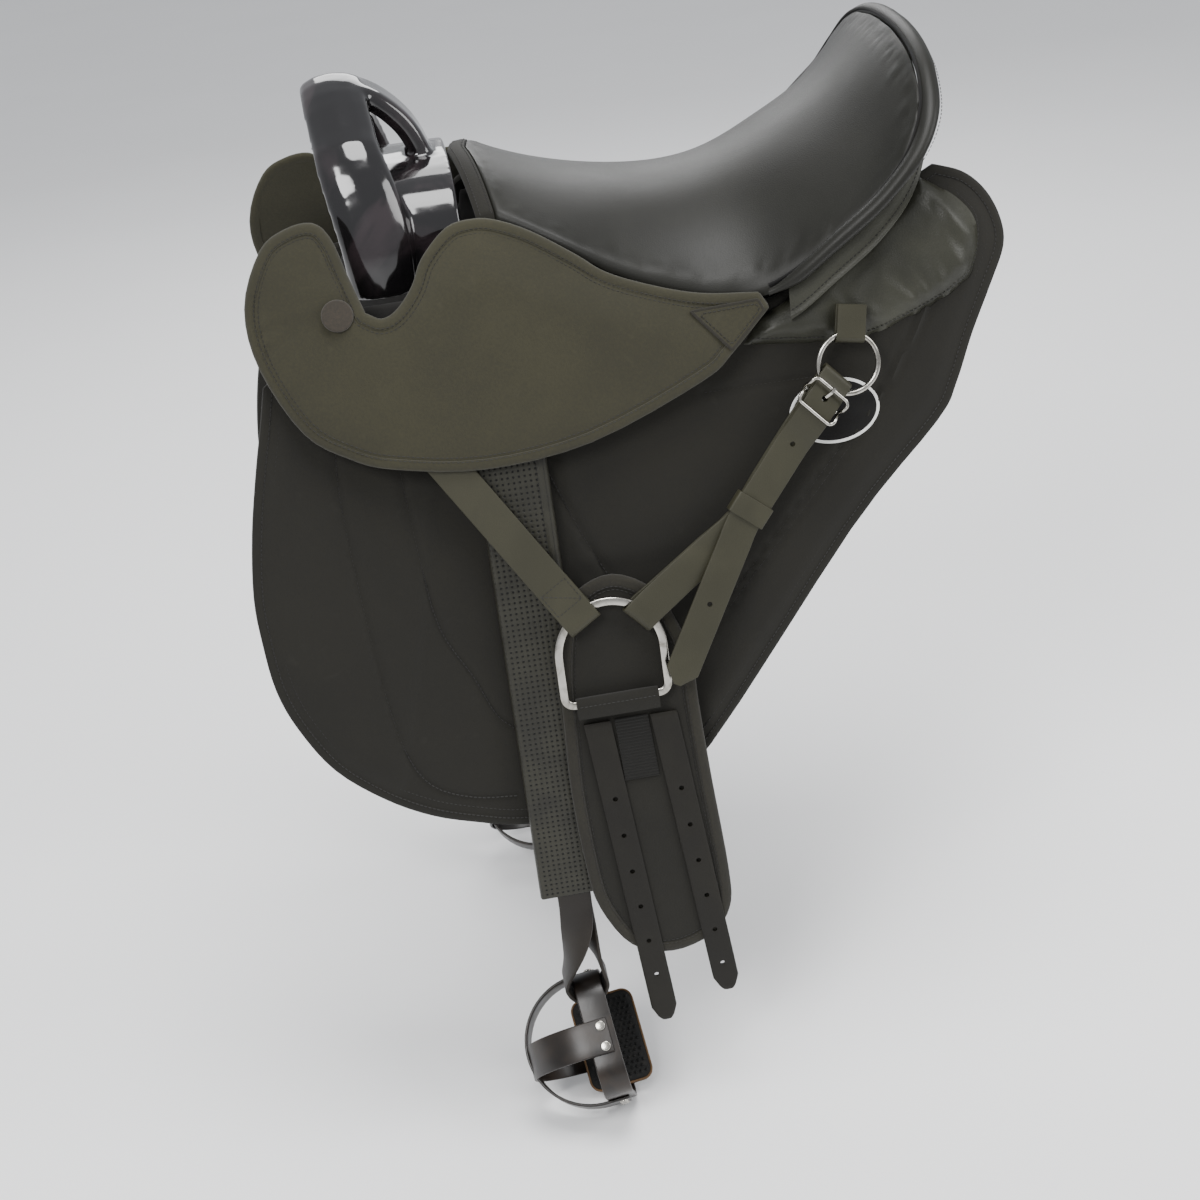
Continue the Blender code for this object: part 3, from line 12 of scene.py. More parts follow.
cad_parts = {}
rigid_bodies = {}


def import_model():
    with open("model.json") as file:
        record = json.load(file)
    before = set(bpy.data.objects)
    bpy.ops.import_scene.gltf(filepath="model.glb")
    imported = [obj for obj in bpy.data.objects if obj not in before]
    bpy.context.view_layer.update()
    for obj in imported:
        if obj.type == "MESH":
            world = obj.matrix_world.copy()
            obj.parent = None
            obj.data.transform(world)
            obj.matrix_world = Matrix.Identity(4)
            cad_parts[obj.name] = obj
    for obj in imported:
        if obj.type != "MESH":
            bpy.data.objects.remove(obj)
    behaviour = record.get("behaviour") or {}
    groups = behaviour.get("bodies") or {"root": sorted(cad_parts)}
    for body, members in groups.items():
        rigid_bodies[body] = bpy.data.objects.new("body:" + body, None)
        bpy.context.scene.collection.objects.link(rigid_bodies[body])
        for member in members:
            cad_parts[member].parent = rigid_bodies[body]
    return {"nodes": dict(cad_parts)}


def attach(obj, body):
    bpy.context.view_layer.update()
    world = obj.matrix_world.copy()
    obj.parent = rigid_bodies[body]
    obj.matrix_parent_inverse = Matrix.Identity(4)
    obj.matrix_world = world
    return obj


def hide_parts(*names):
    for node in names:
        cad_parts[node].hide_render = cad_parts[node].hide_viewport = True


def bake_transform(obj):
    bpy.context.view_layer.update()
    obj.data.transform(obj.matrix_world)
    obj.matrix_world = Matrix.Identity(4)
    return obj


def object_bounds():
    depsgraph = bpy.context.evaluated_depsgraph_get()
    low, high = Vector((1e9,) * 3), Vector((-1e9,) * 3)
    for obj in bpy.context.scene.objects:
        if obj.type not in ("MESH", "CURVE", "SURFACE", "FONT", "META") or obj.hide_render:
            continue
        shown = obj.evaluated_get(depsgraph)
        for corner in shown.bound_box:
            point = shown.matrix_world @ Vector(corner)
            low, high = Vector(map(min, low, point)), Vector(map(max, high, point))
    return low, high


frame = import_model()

bl_info = {
    "name": "Trail Saddle",
    "version": (1, 0, 0),
    "blender": (4, 5, 0),
    "location": "3D View > Sidebar > Saddle",
    "description": "Seat, flaps, rigging and stirrups of a trail saddle on its measured frame",
    "category": "Object",
}

CAD_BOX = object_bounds()
FLOOR_Z = CAD_BOX[0].z - 0.001
MM = 0.001
GAP = 0.0004
SIDES = {"left": -1, "right": 1}
CORNERS = ((1, 1, 0), (-1, 1, 90), (-1, -1, 180), (1, -1, 270))

# The side surface that flaps and straps lie on
SIDE_TOP_Z = 0.100
SIDE_TOP_HALF = 0.095
SIDE_SPREAD = 0.150
SIDE_SPREAD_DEPTH = 0.350

# Seat
SEAT_EDGE = [
    (-0.108, 0.112, 0.062), (-0.085, 0.121, 0.052), (-0.045, 0.137, 0.030), (-0.015, 0.146, 0.012),
    (0.020, 0.154, -0.004), (0.060, 0.161, -0.018), (0.105, 0.168, -0.024), (0.140, 0.176, -0.010),
    (0.178, 0.183, 0.020), (0.215, 0.185, 0.049), (0.244, 0.180, 0.080), (0.262, 0.162, 0.112),
    (0.270, 0.128, 0.138), (0.273, 0.087, 0.153), (0.274, 0.043, 0.160), (0.274, 0.000, 0.162),
]
SEAT_SPINE = [
    (-0.121, 0.098), (-0.090, 0.083), (-0.050, 0.068), (0.000, 0.058),
    (0.050, 0.052), (0.100, 0.056), (0.150, 0.074), (0.190, 0.098),
]
SEAT_CUSHION = 0.022
SEAT_EDGE_CUSHION = 0.009
SEAT_RIM_ROLL = 0.004
SEAT_CROWN_POWER = 2.3
SEAT_BACK_POWER = 1.35
ROLL_RADIUS = 0.0085
FRONT_BAND_WIDE = 0.016
FRONT_BAND_DEEP = 0.012
ROLL_FROM_X = 0.116
BAND_FROM_X = 0.135

# Layers outside the side surface
FLAP_THICK = 0.009
PAD_LIFT = 0.0240
PAD_THICK = 0.006
UPPER_FLAP_THICK = 0.005
UPPER_SEAM_LIFT = 0.0225
UPPER_FRONT_LIFT = 0.0150
UPPER_FULL_LIFT = 0.0315
UPPER_TAPE_WIDE = 0.0085
COVER_LIFT = 0.020
COVER_RISE = 0.0122
PATCH_AT = (0.168, -0.1456)
PATCH_HALF = (0.040, 0.0275)
THREAD_THICK = 0.00075
STRAP_THICK = 0.0025
BILLET_THICK = 0.003
BILLET_WIDE = 0.025
BILLET_TOP_Z = -0.3925
BILLET_HOLES = [-0.4715 - 0.0393 * k for k in range(6)]
BILLETS = {"billet_front": (-0.085, -0.055, -0.722), "billet_rear": (-0.023, 0.009, -0.700)}
HANGER_Z = -0.3872
STRAP_HOLE = 0.0024
ELASTIC_FOOT_Z = -0.455
ELASTIC_RIB = 0.0031

# Stirrup leather and sleeve
LEATHER_X = -0.128
LEATHER_WIDE = 0.032
LEATHER_THICK = 0.0035
LEATHER_PITCH = 0.0042
SLEEVE_WIDE = 0.064
SLEEVE_WALL = 0.002
SLEEVE_TOP_Z = -0.104
SLEEVE_FOOT_Z = -0.575
SLEEVE_LIFT = 0.0157
SLEEVE_TOP_RISE = 0.0021
SLEEVE_RISE_Z = -0.300
SLEEVE_GRID = 0.0051
BAR_Z = -0.052
BAR_LIFT = 0.0223
BAR_RADIUS = 0.0045
LOOP_Z = -0.672
LOOP_SPREAD = 0.020

# Rings and buckle
DEE_X = -0.064
DEE_Z = -0.325
DEE_LIFT = 0.0376
DEE_RADIUS = 0.048
DEE_DROP = 0.045
DEE_WIDE = 0.008
DEE_THICK = 0.005
DEE_CORNER = 0.009
RING_X = 0.181
RING_Z = -0.104
RING_RADIUS = 0.027
RING_WIRE = 0.0025
RING_LIFT = 0.0306
BUCKLE_LONG = 0.026
BUCKLE_WIDE = 0.040
BUCKLE_WIRE = 0.0015
BUCKLE_S = 0.246
BUCKLE_N = 0.0042
BUCKLE_V = -0.0010
BUCKLE_TURN = 0.0034
BEND_S = 0.118
BEND_V = -0.0185
KEEPER_S = 0.131
TOP_PLY_N = 0.0108
REAR_WRAP = DEE_THICK / 2 + 0.0011 + STRAP_THICK / 2
TAB_WRAP = RING_WIRE + 0.0008 + STRAP_THICK / 2
REAR_STRAP_WIDE = 0.031
FRONT_STRAP_WIDE = 0.033
RING_TAB_WIDE = 0.026
RING_TAB_TURN = 80.0

# Stirrup
STIRRUP_ROLL = 45.0
STIRRUP_PITCH = -8.1
STIRRUP_INNER = 0.116
ARM_THICK = 0.004
ARM_WIDE = 0.028
ARM_CORNER = 0.026
TREAD_THICK = 0.011
TREAD_DEEP = 0.062
CAGE_REACH = 0.078
CAGE_BAND_WIDE = 0.034
CAGE_STRAP_WIDE = 0.040
CAGE_THICK = 0.003
CAGE_AT = STIRRUP_INNER * 0.47
CAGE_BAND_AT = 0.006
TREAD_LOW = GAP + 0.0045
TREAD_TOP = TREAD_LOW + TREAD_THICK
TREAD_CORNER = 0.010
STUD_PITCH = 0.0055
STUD_RADIUS = 0.0019
STUD_HIGH = 0.0017

BUTTON_AT = (-0.257, -0.003)
BUTTON_RADIUS = 0.013

# The view of the reference picture, its angles in degrees, and the lens as a share of its width
VIEW_TILT = 26.5
VIEW_SWING = -5.0
VIEW_ROLL = 7.0
VIEW_AIM = (-0.052, -0.05, -0.36)
VIEW_DISTANCE = 2.0
SENSOR_WIDE = 36.0
LENS_SHARE = 2000 / 1200

# Each lamp's name, place, width and watts
LAMP_AIM = (0, 0, -0.2)
LAMPS = [
    ("front_light", (-1.5, -2.4, 2.0), 1.4, 95),
    ("top_light", (0.2, -0.6, 2.6), 1.6, 90),
    ("rear_light", (2.4, -1.2, 1.2), 1.6, 46),
    ("far_light", (0.2, 2.6, 1.6), 2.0, 45),
]
FLOOR_SIZE = 24


# Shape helpers


def half_width(z):
    """How far the side surface is from the middle at a height."""
    return SIDE_TOP_HALF + SIDE_SPREAD * (1 - np.exp((z - SIDE_TOP_Z) / SIDE_SPREAD_DEPTH))


def side_slope(z):
    """How fast the side surface spreads going down."""
    return SIDE_SPREAD / SIDE_SPREAD_DEPTH * np.exp((z - SIDE_TOP_Z) / SIDE_SPREAD_DEPTH)


def on_side(x, z, lift):
    """Points lift outside the side surface, with the outward distance as y."""
    x, z, lift = np.broadcast_arrays(*(np.asarray(value, float) for value in (x, z, lift)))
    slope = side_slope(z)
    length = np.sqrt(1 + slope**2)
    return np.stack([x, half_width(z) + lift / length, z + lift * slope / length], -1)


def on_layer(flat, lift):
    """Points of a flat line or sheet, lift outside the side surface."""
    return on_side(flat[:, 0], flat[:, 1], lift)


def side_normal(z):
    slope = side_slope(z)
    return np.array([0, 1, slope]) / hypot(1, slope)


def side_normals(line):
    return [side_normal(z) for z in line[:, 1]]


def unit(vector):
    vector = np.array(vector, float)
    return vector / np.linalg.norm(vector)


def curve_stretch(a, b, c, d, per):
    """Points on a smooth curve from b towards c, which has a before it and d after."""
    made = []
    for k in range(per):
        t = k / per
        square = (2 * a - 5 * b + 4 * c - d) * t**2
        cube = (3 * b - a - 3 * c + d) * t**3
        made.append(0.5 * (2 * b + (c - a) * t + square + cube))
    return made


def smooth_run(points, per):
    """Points on a smooth curve through the points, per for each stretch."""
    points = np.array(points, float)
    ends = np.vstack([2 * points[0] - points[1], points, 2 * points[-1] - points[-2]])
    made = []
    for i in range(1, len(ends) - 2):
        made += curve_stretch(*ends[i - 1 : i + 3], per)
    return np.array([*made, points[-1]])


def smooth_loop(points, per=4):
    """A closed smooth curve through the points."""
    points = np.array(points, float)
    made = []
    for i in range(len(points)):
        made += curve_stretch(*(points[(i + k) % len(points)] for k in (-1, 0, 1, 2)), per)
    return np.array(made)


def outline(*runs, per=4):
    """A closed outline in metres from runs in millimetres, with a corner where two runs meet."""
    return np.vstack([smooth_run(run, per)[:-1] * MM for run in runs])


def laid(points, lift):
    """Outline points seen on a lifted layer, at the heights that on_side takes."""
    points = np.array(points, float)
    slope = side_slope(points[:, 1])
    return np.stack([points[:, 0], points[:, 1] - lift * slope / np.sqrt(1 + slope**2)], -1)


def run_length(points):
    """How far along a polyline each of its points is."""
    return np.concatenate([[0], np.cumsum(np.linalg.norm(np.diff(points, axis=0), axis=1))])


def points_at(at, length, points):
    """A polyline's points at the distances given, from how far along it its own points are."""
    return np.stack([np.interp(at, length, points[:, k]) for k in range(points.shape[1])], -1)


def spaced(points, step, closed=False):
    """A polyline's points at even spacing, its ends kept."""
    points = np.array(points, float)
    if closed:
        points = np.vstack([points, points[:1]])
    length = run_length(points)
    count = max(int(round(length[-1] / step)), 2)
    made = points_at(np.linspace(0, length[-1], count + 1), length, points)
    return made[:-1] if closed else made


def line_distance(points, line, closed=False):
    """How far each point is from a polyline."""
    line = np.array(line, float)
    starts = line if closed else line[:-1]
    ends = np.roll(line, -1, axis=0) if closed else line[1:]
    best = np.full(len(points), 1e9)
    for a, b in zip(starts, ends):
        run = b - a
        t = np.clip((points - a) @ run / max(run @ run, 1e-15), 0, 1)
        best = np.minimum(best, np.linalg.norm(points - a - t[:, None] * run, axis=1))
    return best


def inside(points, loop):
    """Whether each point lies in a closed outline."""
    found = np.zeros(len(points), bool)
    x, z = points[:, 0], points[:, 1]
    for (ax, az), (bx, bz) in zip(loop, np.roll(loop, -1, axis=0)):
        if az != bz:
            found ^= ((az > z) != (bz > z)) & (x < (bx - ax) * (z - az) / (bz - az) + ax)
    return found


def ease(value):
    """0 below 0, 1 above 1 and smooth between."""
    value = np.clip(value, 0, 1)
    return value * value * (3 - 2 * value)


def ripple(x, z, size, seed):
    """A soft unevenness from -1 to 1 with features of about the size given."""
    chance = np.random.default_rng(seed)
    total = 0
    for _ in range(7):
        turn = chance.uniform(0, 2 * pi)
        wave = 2 * pi / (size * chance.uniform(0.7, 1.8))
        total = total + np.sin((x * cos(turn) + z * sin(turn)) * wave + chance.uniform(0, 2 * pi))
    return total / 7


# Mesh helpers


def piece(name, points, faces, look, side=1, angle=38, uv=None):
    """A mesh object at the origin from points in outward coordinates, facing out."""
    points = np.array(points, float)
    points[:, 1] *= side
    data = bpy.data.meshes.new(name)
    data.from_pydata(points.tolist(), [], [tuple(int(i) for i in face) for face in faces])
    if uv is not None:
        layer = data.uv_layers.new(name="UVMap")
        index = np.empty(len(data.loops), np.int32)
        data.loops.foreach_get("vertex_index", index)
        layer.data.foreach_set("uv", np.array(uv, np.float32)[index].ravel())
    mesh = bmesh.new()
    mesh.from_mesh(data)
    bmesh.ops.recalc_face_normals(mesh, faces=mesh.faces)
    if mesh.calc_volume(signed=True) < 0:
        bmesh.ops.reverse_faces(mesh, faces=mesh.faces)
    mesh.to_mesh(data)
    mesh.free()
    data.shade_smooth()
    data.set_sharp_from_angle(angle=radians(angle))
    data.materials.append(look)
    made = bpy.data.objects.new(name, data)
    bpy.context.scene.collection.objects.link(made)
    return made


def rows_to_mesh(rows, closed_rows=False, caps=True):
    """Points and faces of a skin over rows of points; each row is a closed ring."""
    rows = np.array(rows)
    count, wide = rows.shape[:2]
    faces = []
    for i in range(count if closed_rows else count - 1):
        for j in range(wide):
            a = i * wide
            b = (i + 1) % count * wide
            faces.append((a + j, a + (j + 1) % wide, b + (j + 1) % wide, b + j))
    if caps and not closed_rows:
        faces.append(tuple(range(wide)))
        faces.append(tuple(reversed(range((count - 1) * wide, count * wide))))
    return rows.reshape(-1, 3), faces


def tangents(path, closed):
    """The direction of a path at each of its points."""
    path = np.array(path)
    if closed:
        ways = np.roll(path, -1, axis=0) - np.roll(path, 1, axis=0)
    else:
        ways = np.gradient(path, axis=0)
    return ways / np.linalg.norm(ways, axis=1)[:, None]


def swept(name, path, widths, section, look, side=1, closed=False, angle=38):
    """A section swept along a path that turns in space, so its rows are laid one by one."""
    rows = []
    for centre, along, wide in zip(np.array(path), tangents(path, closed), np.array(widths, float)):
        wide = unit(wide - along * wide.dot(along))
        high = np.cross(along, wide)
        rows.append([centre + (wide * u + high * v) for u, v in section])
    return piece(name, *rows_to_mesh(rows, closed), look, side, angle)


def rounded(wide, thick, radius, steps=4, across=0):
    """A rectangle section with round corners, with extra points across its long sides."""
    made = []
    half_wide, half_thick = wide / 2 - radius, thick / 2 - radius
    for cx, cy, start in CORNERS:
        for k in range(steps + 1):
            turn = radians(start + 90 * k / steps)
            made.append((cx * half_wide + radius * cos(turn), cy * half_thick + radius * sin(turn)))
        if start in (0, 180):
            (first, level), last = made[-1], -cx * half_wide
            for k in range(1, across + 1):
                made.append((first + (last - first) * (k / (across + 1)), level))
    return made


def oval(wide, thick, steps):
    turns = [2 * pi * k / steps for k in range(steps)]
    return [(wide / 2 * cos(a), thick / 2 * sin(a)) for a in turns]


def arc(centre, radius, start, end, steps):
    turns = np.radians(np.linspace(start, end, steps + 1))
    return [(centre[0] + radius * cos(a), centre[1] + radius * sin(a)) for a in turns]


def cut_sheet(loop, lines=(), holes=(), pitch=0.004):
    """Points and triangles of a flat piece, with edges along its lines and round its holes."""
    loop = spaced(loop, pitch, closed=True)
    low, high = loop.min(0), loop.max(0)
    columns = np.arange(low[0], high[0] + pitch, pitch)
    heights = np.arange(low[1], high[1] + pitch, pitch * 0.866)
    grid = np.array([(x + pitch / 2 * (k % 2), z) for k, z in enumerate(heights) for x in columns])
    grid = grid[inside(grid, loop)]
    grid = grid[line_distance(grid, loop, True) > pitch * 0.55]
    drawn = [(spaced(line, pitch), False) for line in lines]
    drawn += [(np.array(hole), True) for hole in holes]
    for line, closed in drawn:
        grid = grid[line_distance(grid, line, closed) > pitch * (0.25 if closed else 0.5)]
    points = [loop, grid]
    edges = []
    start = len(loop) + len(grid)
    for line, closed in drawn:
        points.append(line)
        last = len(line) if closed else len(line) - 1
        edges += [(start + k, start + (k + 1) % len(line)) for k in range(last)]
        start += len(line)
    points = np.vstack(points)
    rim = [list(range(len(loop)))]
    made = delaunay_2d_cdt([Vector(p) for p in points], edges, rim, 1, 1e-7, False)
    flat = np.array([tuple(p) for p in made[0]])
    faces = np.array([tuple(f) for f in made[2]])
    faces = faces[inside(flat[faces].mean(axis=1), loop)]
    for hole in holes:
        faces = faces[~inside(flat[faces].mean(axis=1), np.array(hole))]
    used, faces = np.unique(faces, return_inverse=True)
    return flat[used], faces.reshape(-1, 3)


def edge_pairs(faces):
    return np.concatenate([faces[:, [0, 1]], faces[:, [1, 2]], faces[:, [2, 0]]])


def shell(flat, faces, outer, inner):
    """Points and faces of a closed shell from a flat cut and where its two faces lie."""
    count = len(flat)
    known = {tuple(edge) for edge in edge_pairs(faces).tolist()}
    rims = [(a, b) for a, b in known if (b, a) not in known]
    made = [tuple(f) for f in faces.tolist()]
    made += [(c + count, b + count, a + count) for a, b, c in faces.tolist()]
    made += [(b, a, a + count, b + count) for a, b in rims]
    return np.vstack([outer, inner]), made


def plate(name, flat, faces, back, front, look, side):
    """A piece cut from a sheet and laid on the side surface between two lifts."""
    made = shell(flat, faces, on_layer(flat, front), on_layer(flat, back))
    return piece(name, *made, look, side, 50)


def inward_ways(loop):
    """The direction to a closed outline's inside at each of its points."""
    way = tangents(loop, True)
    normal = np.stack([-way[:, 1], way[:, 0]], -1)
    return normal if inside(loop[:1] + normal[:1] * 0.001, loop)[0] else -normal


def binding(name, loop, back, front, look, side, wide, bulge):
    """The tape sewn round a flap's edge, over both of its faces."""
    loop = spaced(loop, 0.003, closed=True)
    normal = inward_ways(loop)
    profile = [(wide, 1, -0.0004), (wide - 0.0005, 1, bulge * 0.8), (wide * 0.7, 1, bulge)]
    profile += [(wide * 0.35, 1, bulge), (0.0006, 1, bulge * 0.5)]
    profile += [(-0.0010, 0.82, 0), (-0.0014, 0.5, 0), (-0.0010, 0.18, 0)]
    profile += [(0.0006, 0, -bulge * 0.3), (wide * 0.5, 0, -bulge * 0.3), (wide, 0, 0.0006)]
    base = back(loop[:, 0], loop[:, 1]) + 0 * loop[:, 0]
    over = front(loop[:, 0], loop[:, 1]) + 0 * loop[:, 0]
    rings = []
    for inward, share, rise in profile:
        rings.append(on_layer(loop + normal * inward, base + (over - base) * share + rise))
    return piece(name, *rows_to_mesh(np.stack(rings, axis=1), closed_rows=True), look, side, 60)


# Places along a stitch and how thick its thread is there
BEAD = [(-0.5, 0.35), (-0.25, 1.0), (0.25, 1.0), (0.5, 0.35)]
BEAD_SIDES = ((1, 0), (0, 1), (-1, 0), (0, -1))


def stitches(name, runs, side=1, thick=THREAD_THICK):
    """Thread laid on a seam; each run is points on the surface with their outward directions."""
    pitch = bpy.context.scene.saddle_stitching.pitch
    long = bpy.context.scene.saddle_stitching.length
    points = []
    faces = []
    for path, out in runs:
        path = np.array(path, float)
        out = np.broadcast_to(np.array(out, float), path.shape)
        length = run_length(path)
        at = np.arange(pitch / 2, length[-1], pitch)
        ways = points_at(at + 0.0005, length, path) - points_at(at - 0.0005, length, path)
        ups = points_at(at, length, out)
        for centre, along, normal in zip(points_at(at, length, path), ways, ups):
            along = unit(along)
            across = unit(np.cross(normal, along))
            first = len(points)
            for share, size in BEAD:
                for u, v in BEAD_SIDES:
                    away = (across * u + normal * v) * thick / 2 * size
                    points.append(centre + along * long * share + away)
            for k in range(3):
                for j in range(4):
                    a = first + 4 * k
                    faces.append((a + j, a + (j + 1) % 4, a + 4 + (j + 1) % 4, a + 4 + j))
            faces.append((first, first + 1, first + 2, first + 3))
            faces.append((first + 15, first + 14, first + 13, first + 12))
    return piece(name, points, faces, LOOKS["thread"], side, 60)


def side_runs(lines, lift):
    """Stitching runs on the side surface from lines in x and z."""
    runs = []
    for line in lines:
        line = spaced(line, 0.003)
        runs.append((on_layer(line, lift(line[:, 0], line[:, 1])), side_normals(line)))
    return runs


def inset_line(loop, inward):
    """A line inside a closed outline at an even distance from it."""
    loop = spaced(loop, 0.003, closed=True)
    made = loop + inward_ways(loop) * inward
    keep = line_distance(made, loop, True) > inward * 0.93
    return np.vstack([made[keep], made[keep][:1]])


def ride(made, body, slot, *replaced):
    """Fixes a piece to a body and hides the solids that it stands for; the kind of material that it
    is given is not used.
    """
    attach(made, body)
    if replaced:
        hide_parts(*replaced)
    return made


def sew(name, runs, side, body, slot, thick=THREAD_THICK):
    """Stitching that goes with a body."""
    ride(stitches(name, runs, side, thick), body, slot)


def clear_selection():
    for other in bpy.context.view_layer.objects:
        other.select_set(False)


def only(made):
    """Makes an object the selected and active one."""
    clear_selection()
    made.select_set(True)
    bpy.context.view_layer.objects.active = made


def settle(made, name, look, angle=38, side=1):
    """Applies a primitive's place and modifiers, and gives it its name and finish."""
    only(made)
    bpy.ops.object.transform_apply(location=True, rotation=True, scale=True)
    for modifier in list(made.modifiers):
        bpy.ops.object.modifier_apply(modifier=modifier.name)
    if side < 0:
        made.data.transform(Matrix.Scale(-1, 4, (0, 1, 0)))
        made.data.flip_normals()
    made.name = name
    made.data.name = name
    made.data.materials.clear()
    made.data.materials.append(look)
    bpy.ops.object.shade_smooth_by_angle(angle=radians(angle))
    return made


def turned_to(direction):
    """Rotation that takes +Z to a direction."""
    return Vector((0, 0, 1)).rotation_difference(Vector(direction)).to_euler()


def dish(made, inset, sink, soft, segments):
    """Insets the two round faces of a post and rounds its edges."""
    for polygon in made.data.polygons:
        polygon.select = len(polygon.vertices) > 4
    bpy.ops.object.mode_set(mode="EDIT")
    bpy.ops.mesh.inset(thickness=inset, depth=sink)
    bpy.ops.object.mode_set(mode="OBJECT")
    bevel = made.modifiers.new("Bevel", "BEVEL")
    bevel.width = soft
    bevel.segments = segments


def boolean(target, tool, operation="DIFFERENCE"):
    """Cuts a tool out of an object, or joins it on, and takes the tool away."""
    only(target)
    modifier = target.modifiers.new(operation.title(), "BOOLEAN")
    modifier.operation = operation
    modifier.solver = "EXACT"
    modifier.object = tool
    bpy.ops.object.modifier_apply(modifier=modifier.name)
    bpy.data.objects.remove(tool, do_unlink=True)


# Materials


def paint(red, green, blue):
    """A colour as a screen shows it, from 0 to 255, as the shader's linear colour."""
    made = []
    for value in (red, green, blue):
        value /= 255
        made.append(value / 12.92 if value <= 0.04045 else ((value + 0.055) / 1.055) ** 2.4)
    return (*made, 1.0)


class Wire:
    """A shader value: sums in Python add its Math nodes."""

    def __init__(self, finish, socket):
        self.finish = finish
        self.socket = socket

    def sum(self, operation, first, *others):
        values = dict(enumerate((first, *others)))
        return self.finish.node("ShaderNodeMath", {"operation": operation}, values)

    def __add__(self, other):
        return self.sum("ADD", self, other)

    def __radd__(self, other):
        return self.sum("ADD", other, self)

    def __sub__(self, other):
        return self.sum("SUBTRACT", self, other)

    def __rsub__(self, other):
        return self.sum("SUBTRACT", other, self)

    def __mul__(self, other):
        return self.sum("MULTIPLY", self, other)

    def __truediv__(self, other):
        return self.sum("DIVIDE", self, other)

    def fraction(self):
        return self.sum("FRACT", self)

    def step(self, low, high):
        """0 below low, 1 above high and smooth between."""
        settings = {"interpolation_type": "SMOOTHSTEP"}
        inputs = {"Value": self, "From Min": low, "From Max": high}
        return self.finish.node("ShaderNodeMapRange", settings, inputs)


class Finish:
    """A procedural material whose nodes are added as its look is worked out."""

    def __init__(self, name, **fixed):
        self.material = bpy.data.materials.new(name)
        self.material.use_nodes = True
        self.tree = self.material.node_tree
        self.shader = self.tree.nodes["Principled BSDF"]
        for word, value in fixed.items():
            socket = word.replace("_", " ").title().replace("Ior", "IOR")
            self.shader.inputs[socket].default_value = value

    def node(self, kind, settings=None, inputs=None, output=0):
        made = self.tree.nodes.new(kind)
        for name, value in (settings or {}).items():
            setattr(made, name, value)
        for key, value in (inputs or {}).items():
            self.put(made.inputs[key], value)
        return Wire(self, made.outputs[output])

    def put(self, socket, value):
        if isinstance(value, Wire):
            self.tree.links.new(value.socket, socket)
        else:
            socket.default_value = value

    def place(self, stretch=(1, 1, 1)):
        spot = self.node("ShaderNodeTexCoord", output="Object")
        inputs = {"Vector": spot, "Scale": stretch}
        return self.node("ShaderNodeMapping", {"vector_type": "POINT"}, inputs)

    def noise(self, scale, detail=3.0, distortion=0.0, stretch=(1, 1, 1)):
        inputs = {"Vector": self.place(stretch), "Scale": scale}
        inputs |= {"Detail": detail, "Distortion": distortion}
        return self.node("ShaderNodeTexNoise", None, inputs)

    def grain(self, scale):
        """Small cells like the grain of leather, as the distance to each cell's middle."""
        return self.node("ShaderNodeTexVoronoi", None, {"Vector": self.place(), "Scale": scale})

    def mix(self, share, first, second):
        return self.node("ShaderNodeMix", {"data_type": "RGBA"}, {0: share, 6: first, 7: second}, 2)

    def across(self):
        """The piece's own coordinates across and along, in metres."""
        apart = self.node("ShaderNodeUVMap", {"uv_map": "UVMap"})
        split = self.node("ShaderNodeSeparateXYZ", None, {0: apart})
        return split, Wire(self, split.socket.node.outputs[1])

    def look(self, colour=None, roughness=None, height=None, depth=0.0004, strength=1.0):
        if colour is not None:
            self.put(self.shader.inputs["Base Color"], colour)
        if roughness is not None:
            self.put(self.shader.inputs["Roughness"], roughness)
        if height is not None:
            inputs = {"Height": height, "Distance": depth, "Strength": strength}
            self.put(self.shader.inputs["Normal"], self.node("ShaderNodeBump", None, inputs))
        return self.material


LOOKS = {}


def brushed(name, colour, shade, sheen):
    """Brushed cloth with a soft nap: cloudy patches over a fine, matt surface."""
    made = Finish(name, sheen_weight=sheen, sheen_roughness=0.6, specular_ior_level=0.25)
    cloud = made.noise(11, 4, 0.4)
    nap = made.noise(420, 2)
    fine = made.noise(1500, 1)
    share = (cloud * 0.55 + nap * 0.5 + fine * 0.2).step(0.42, 0.86)
    rub = made.noise(60, 5, 0.6).step(0.62, 0.85) * 0.35
    base = made.mix(share, shade, colour)
    worn = tuple(min(value * 1.35 + 0.004, 1) for value in colour[:3]) + (1.0,)
    base = made.mix(rub, base, worn)
    return made.look(base, 0.86 + nap * 0.1, nap * 0.6 + fine * 0.4, 0.0006, 0.55)


def leather(name, colour, shade, rough, grain=760, depth=0.00025, shine=0.30):
    """Leather with a fine grain, slightly uneven in colour and shine."""
    made = Finish(name, specular_ior_level=shine)
    cells = made.grain(grain)
    cloud = made.noise(14, 4, 0.5)
    pores = made.noise(1100, 2)
    base = made.mix((cloud * 0.7 + pores * 0.3).step(0.35, 0.7), shade, colour)
    polish = rough + cloud * 0.12 - 0.06 + cells * 0.08
    soft = made.noise(34, 3)
    return made.look(base, polish, cells * 0.5 + pores * 0.25 + soft * 1.2, depth, 0.6)


def toned(tone, share=1.0):
    """A chosen screen colour, made darker by a share."""
    return paint(*[value * 255 * share for value in tone])


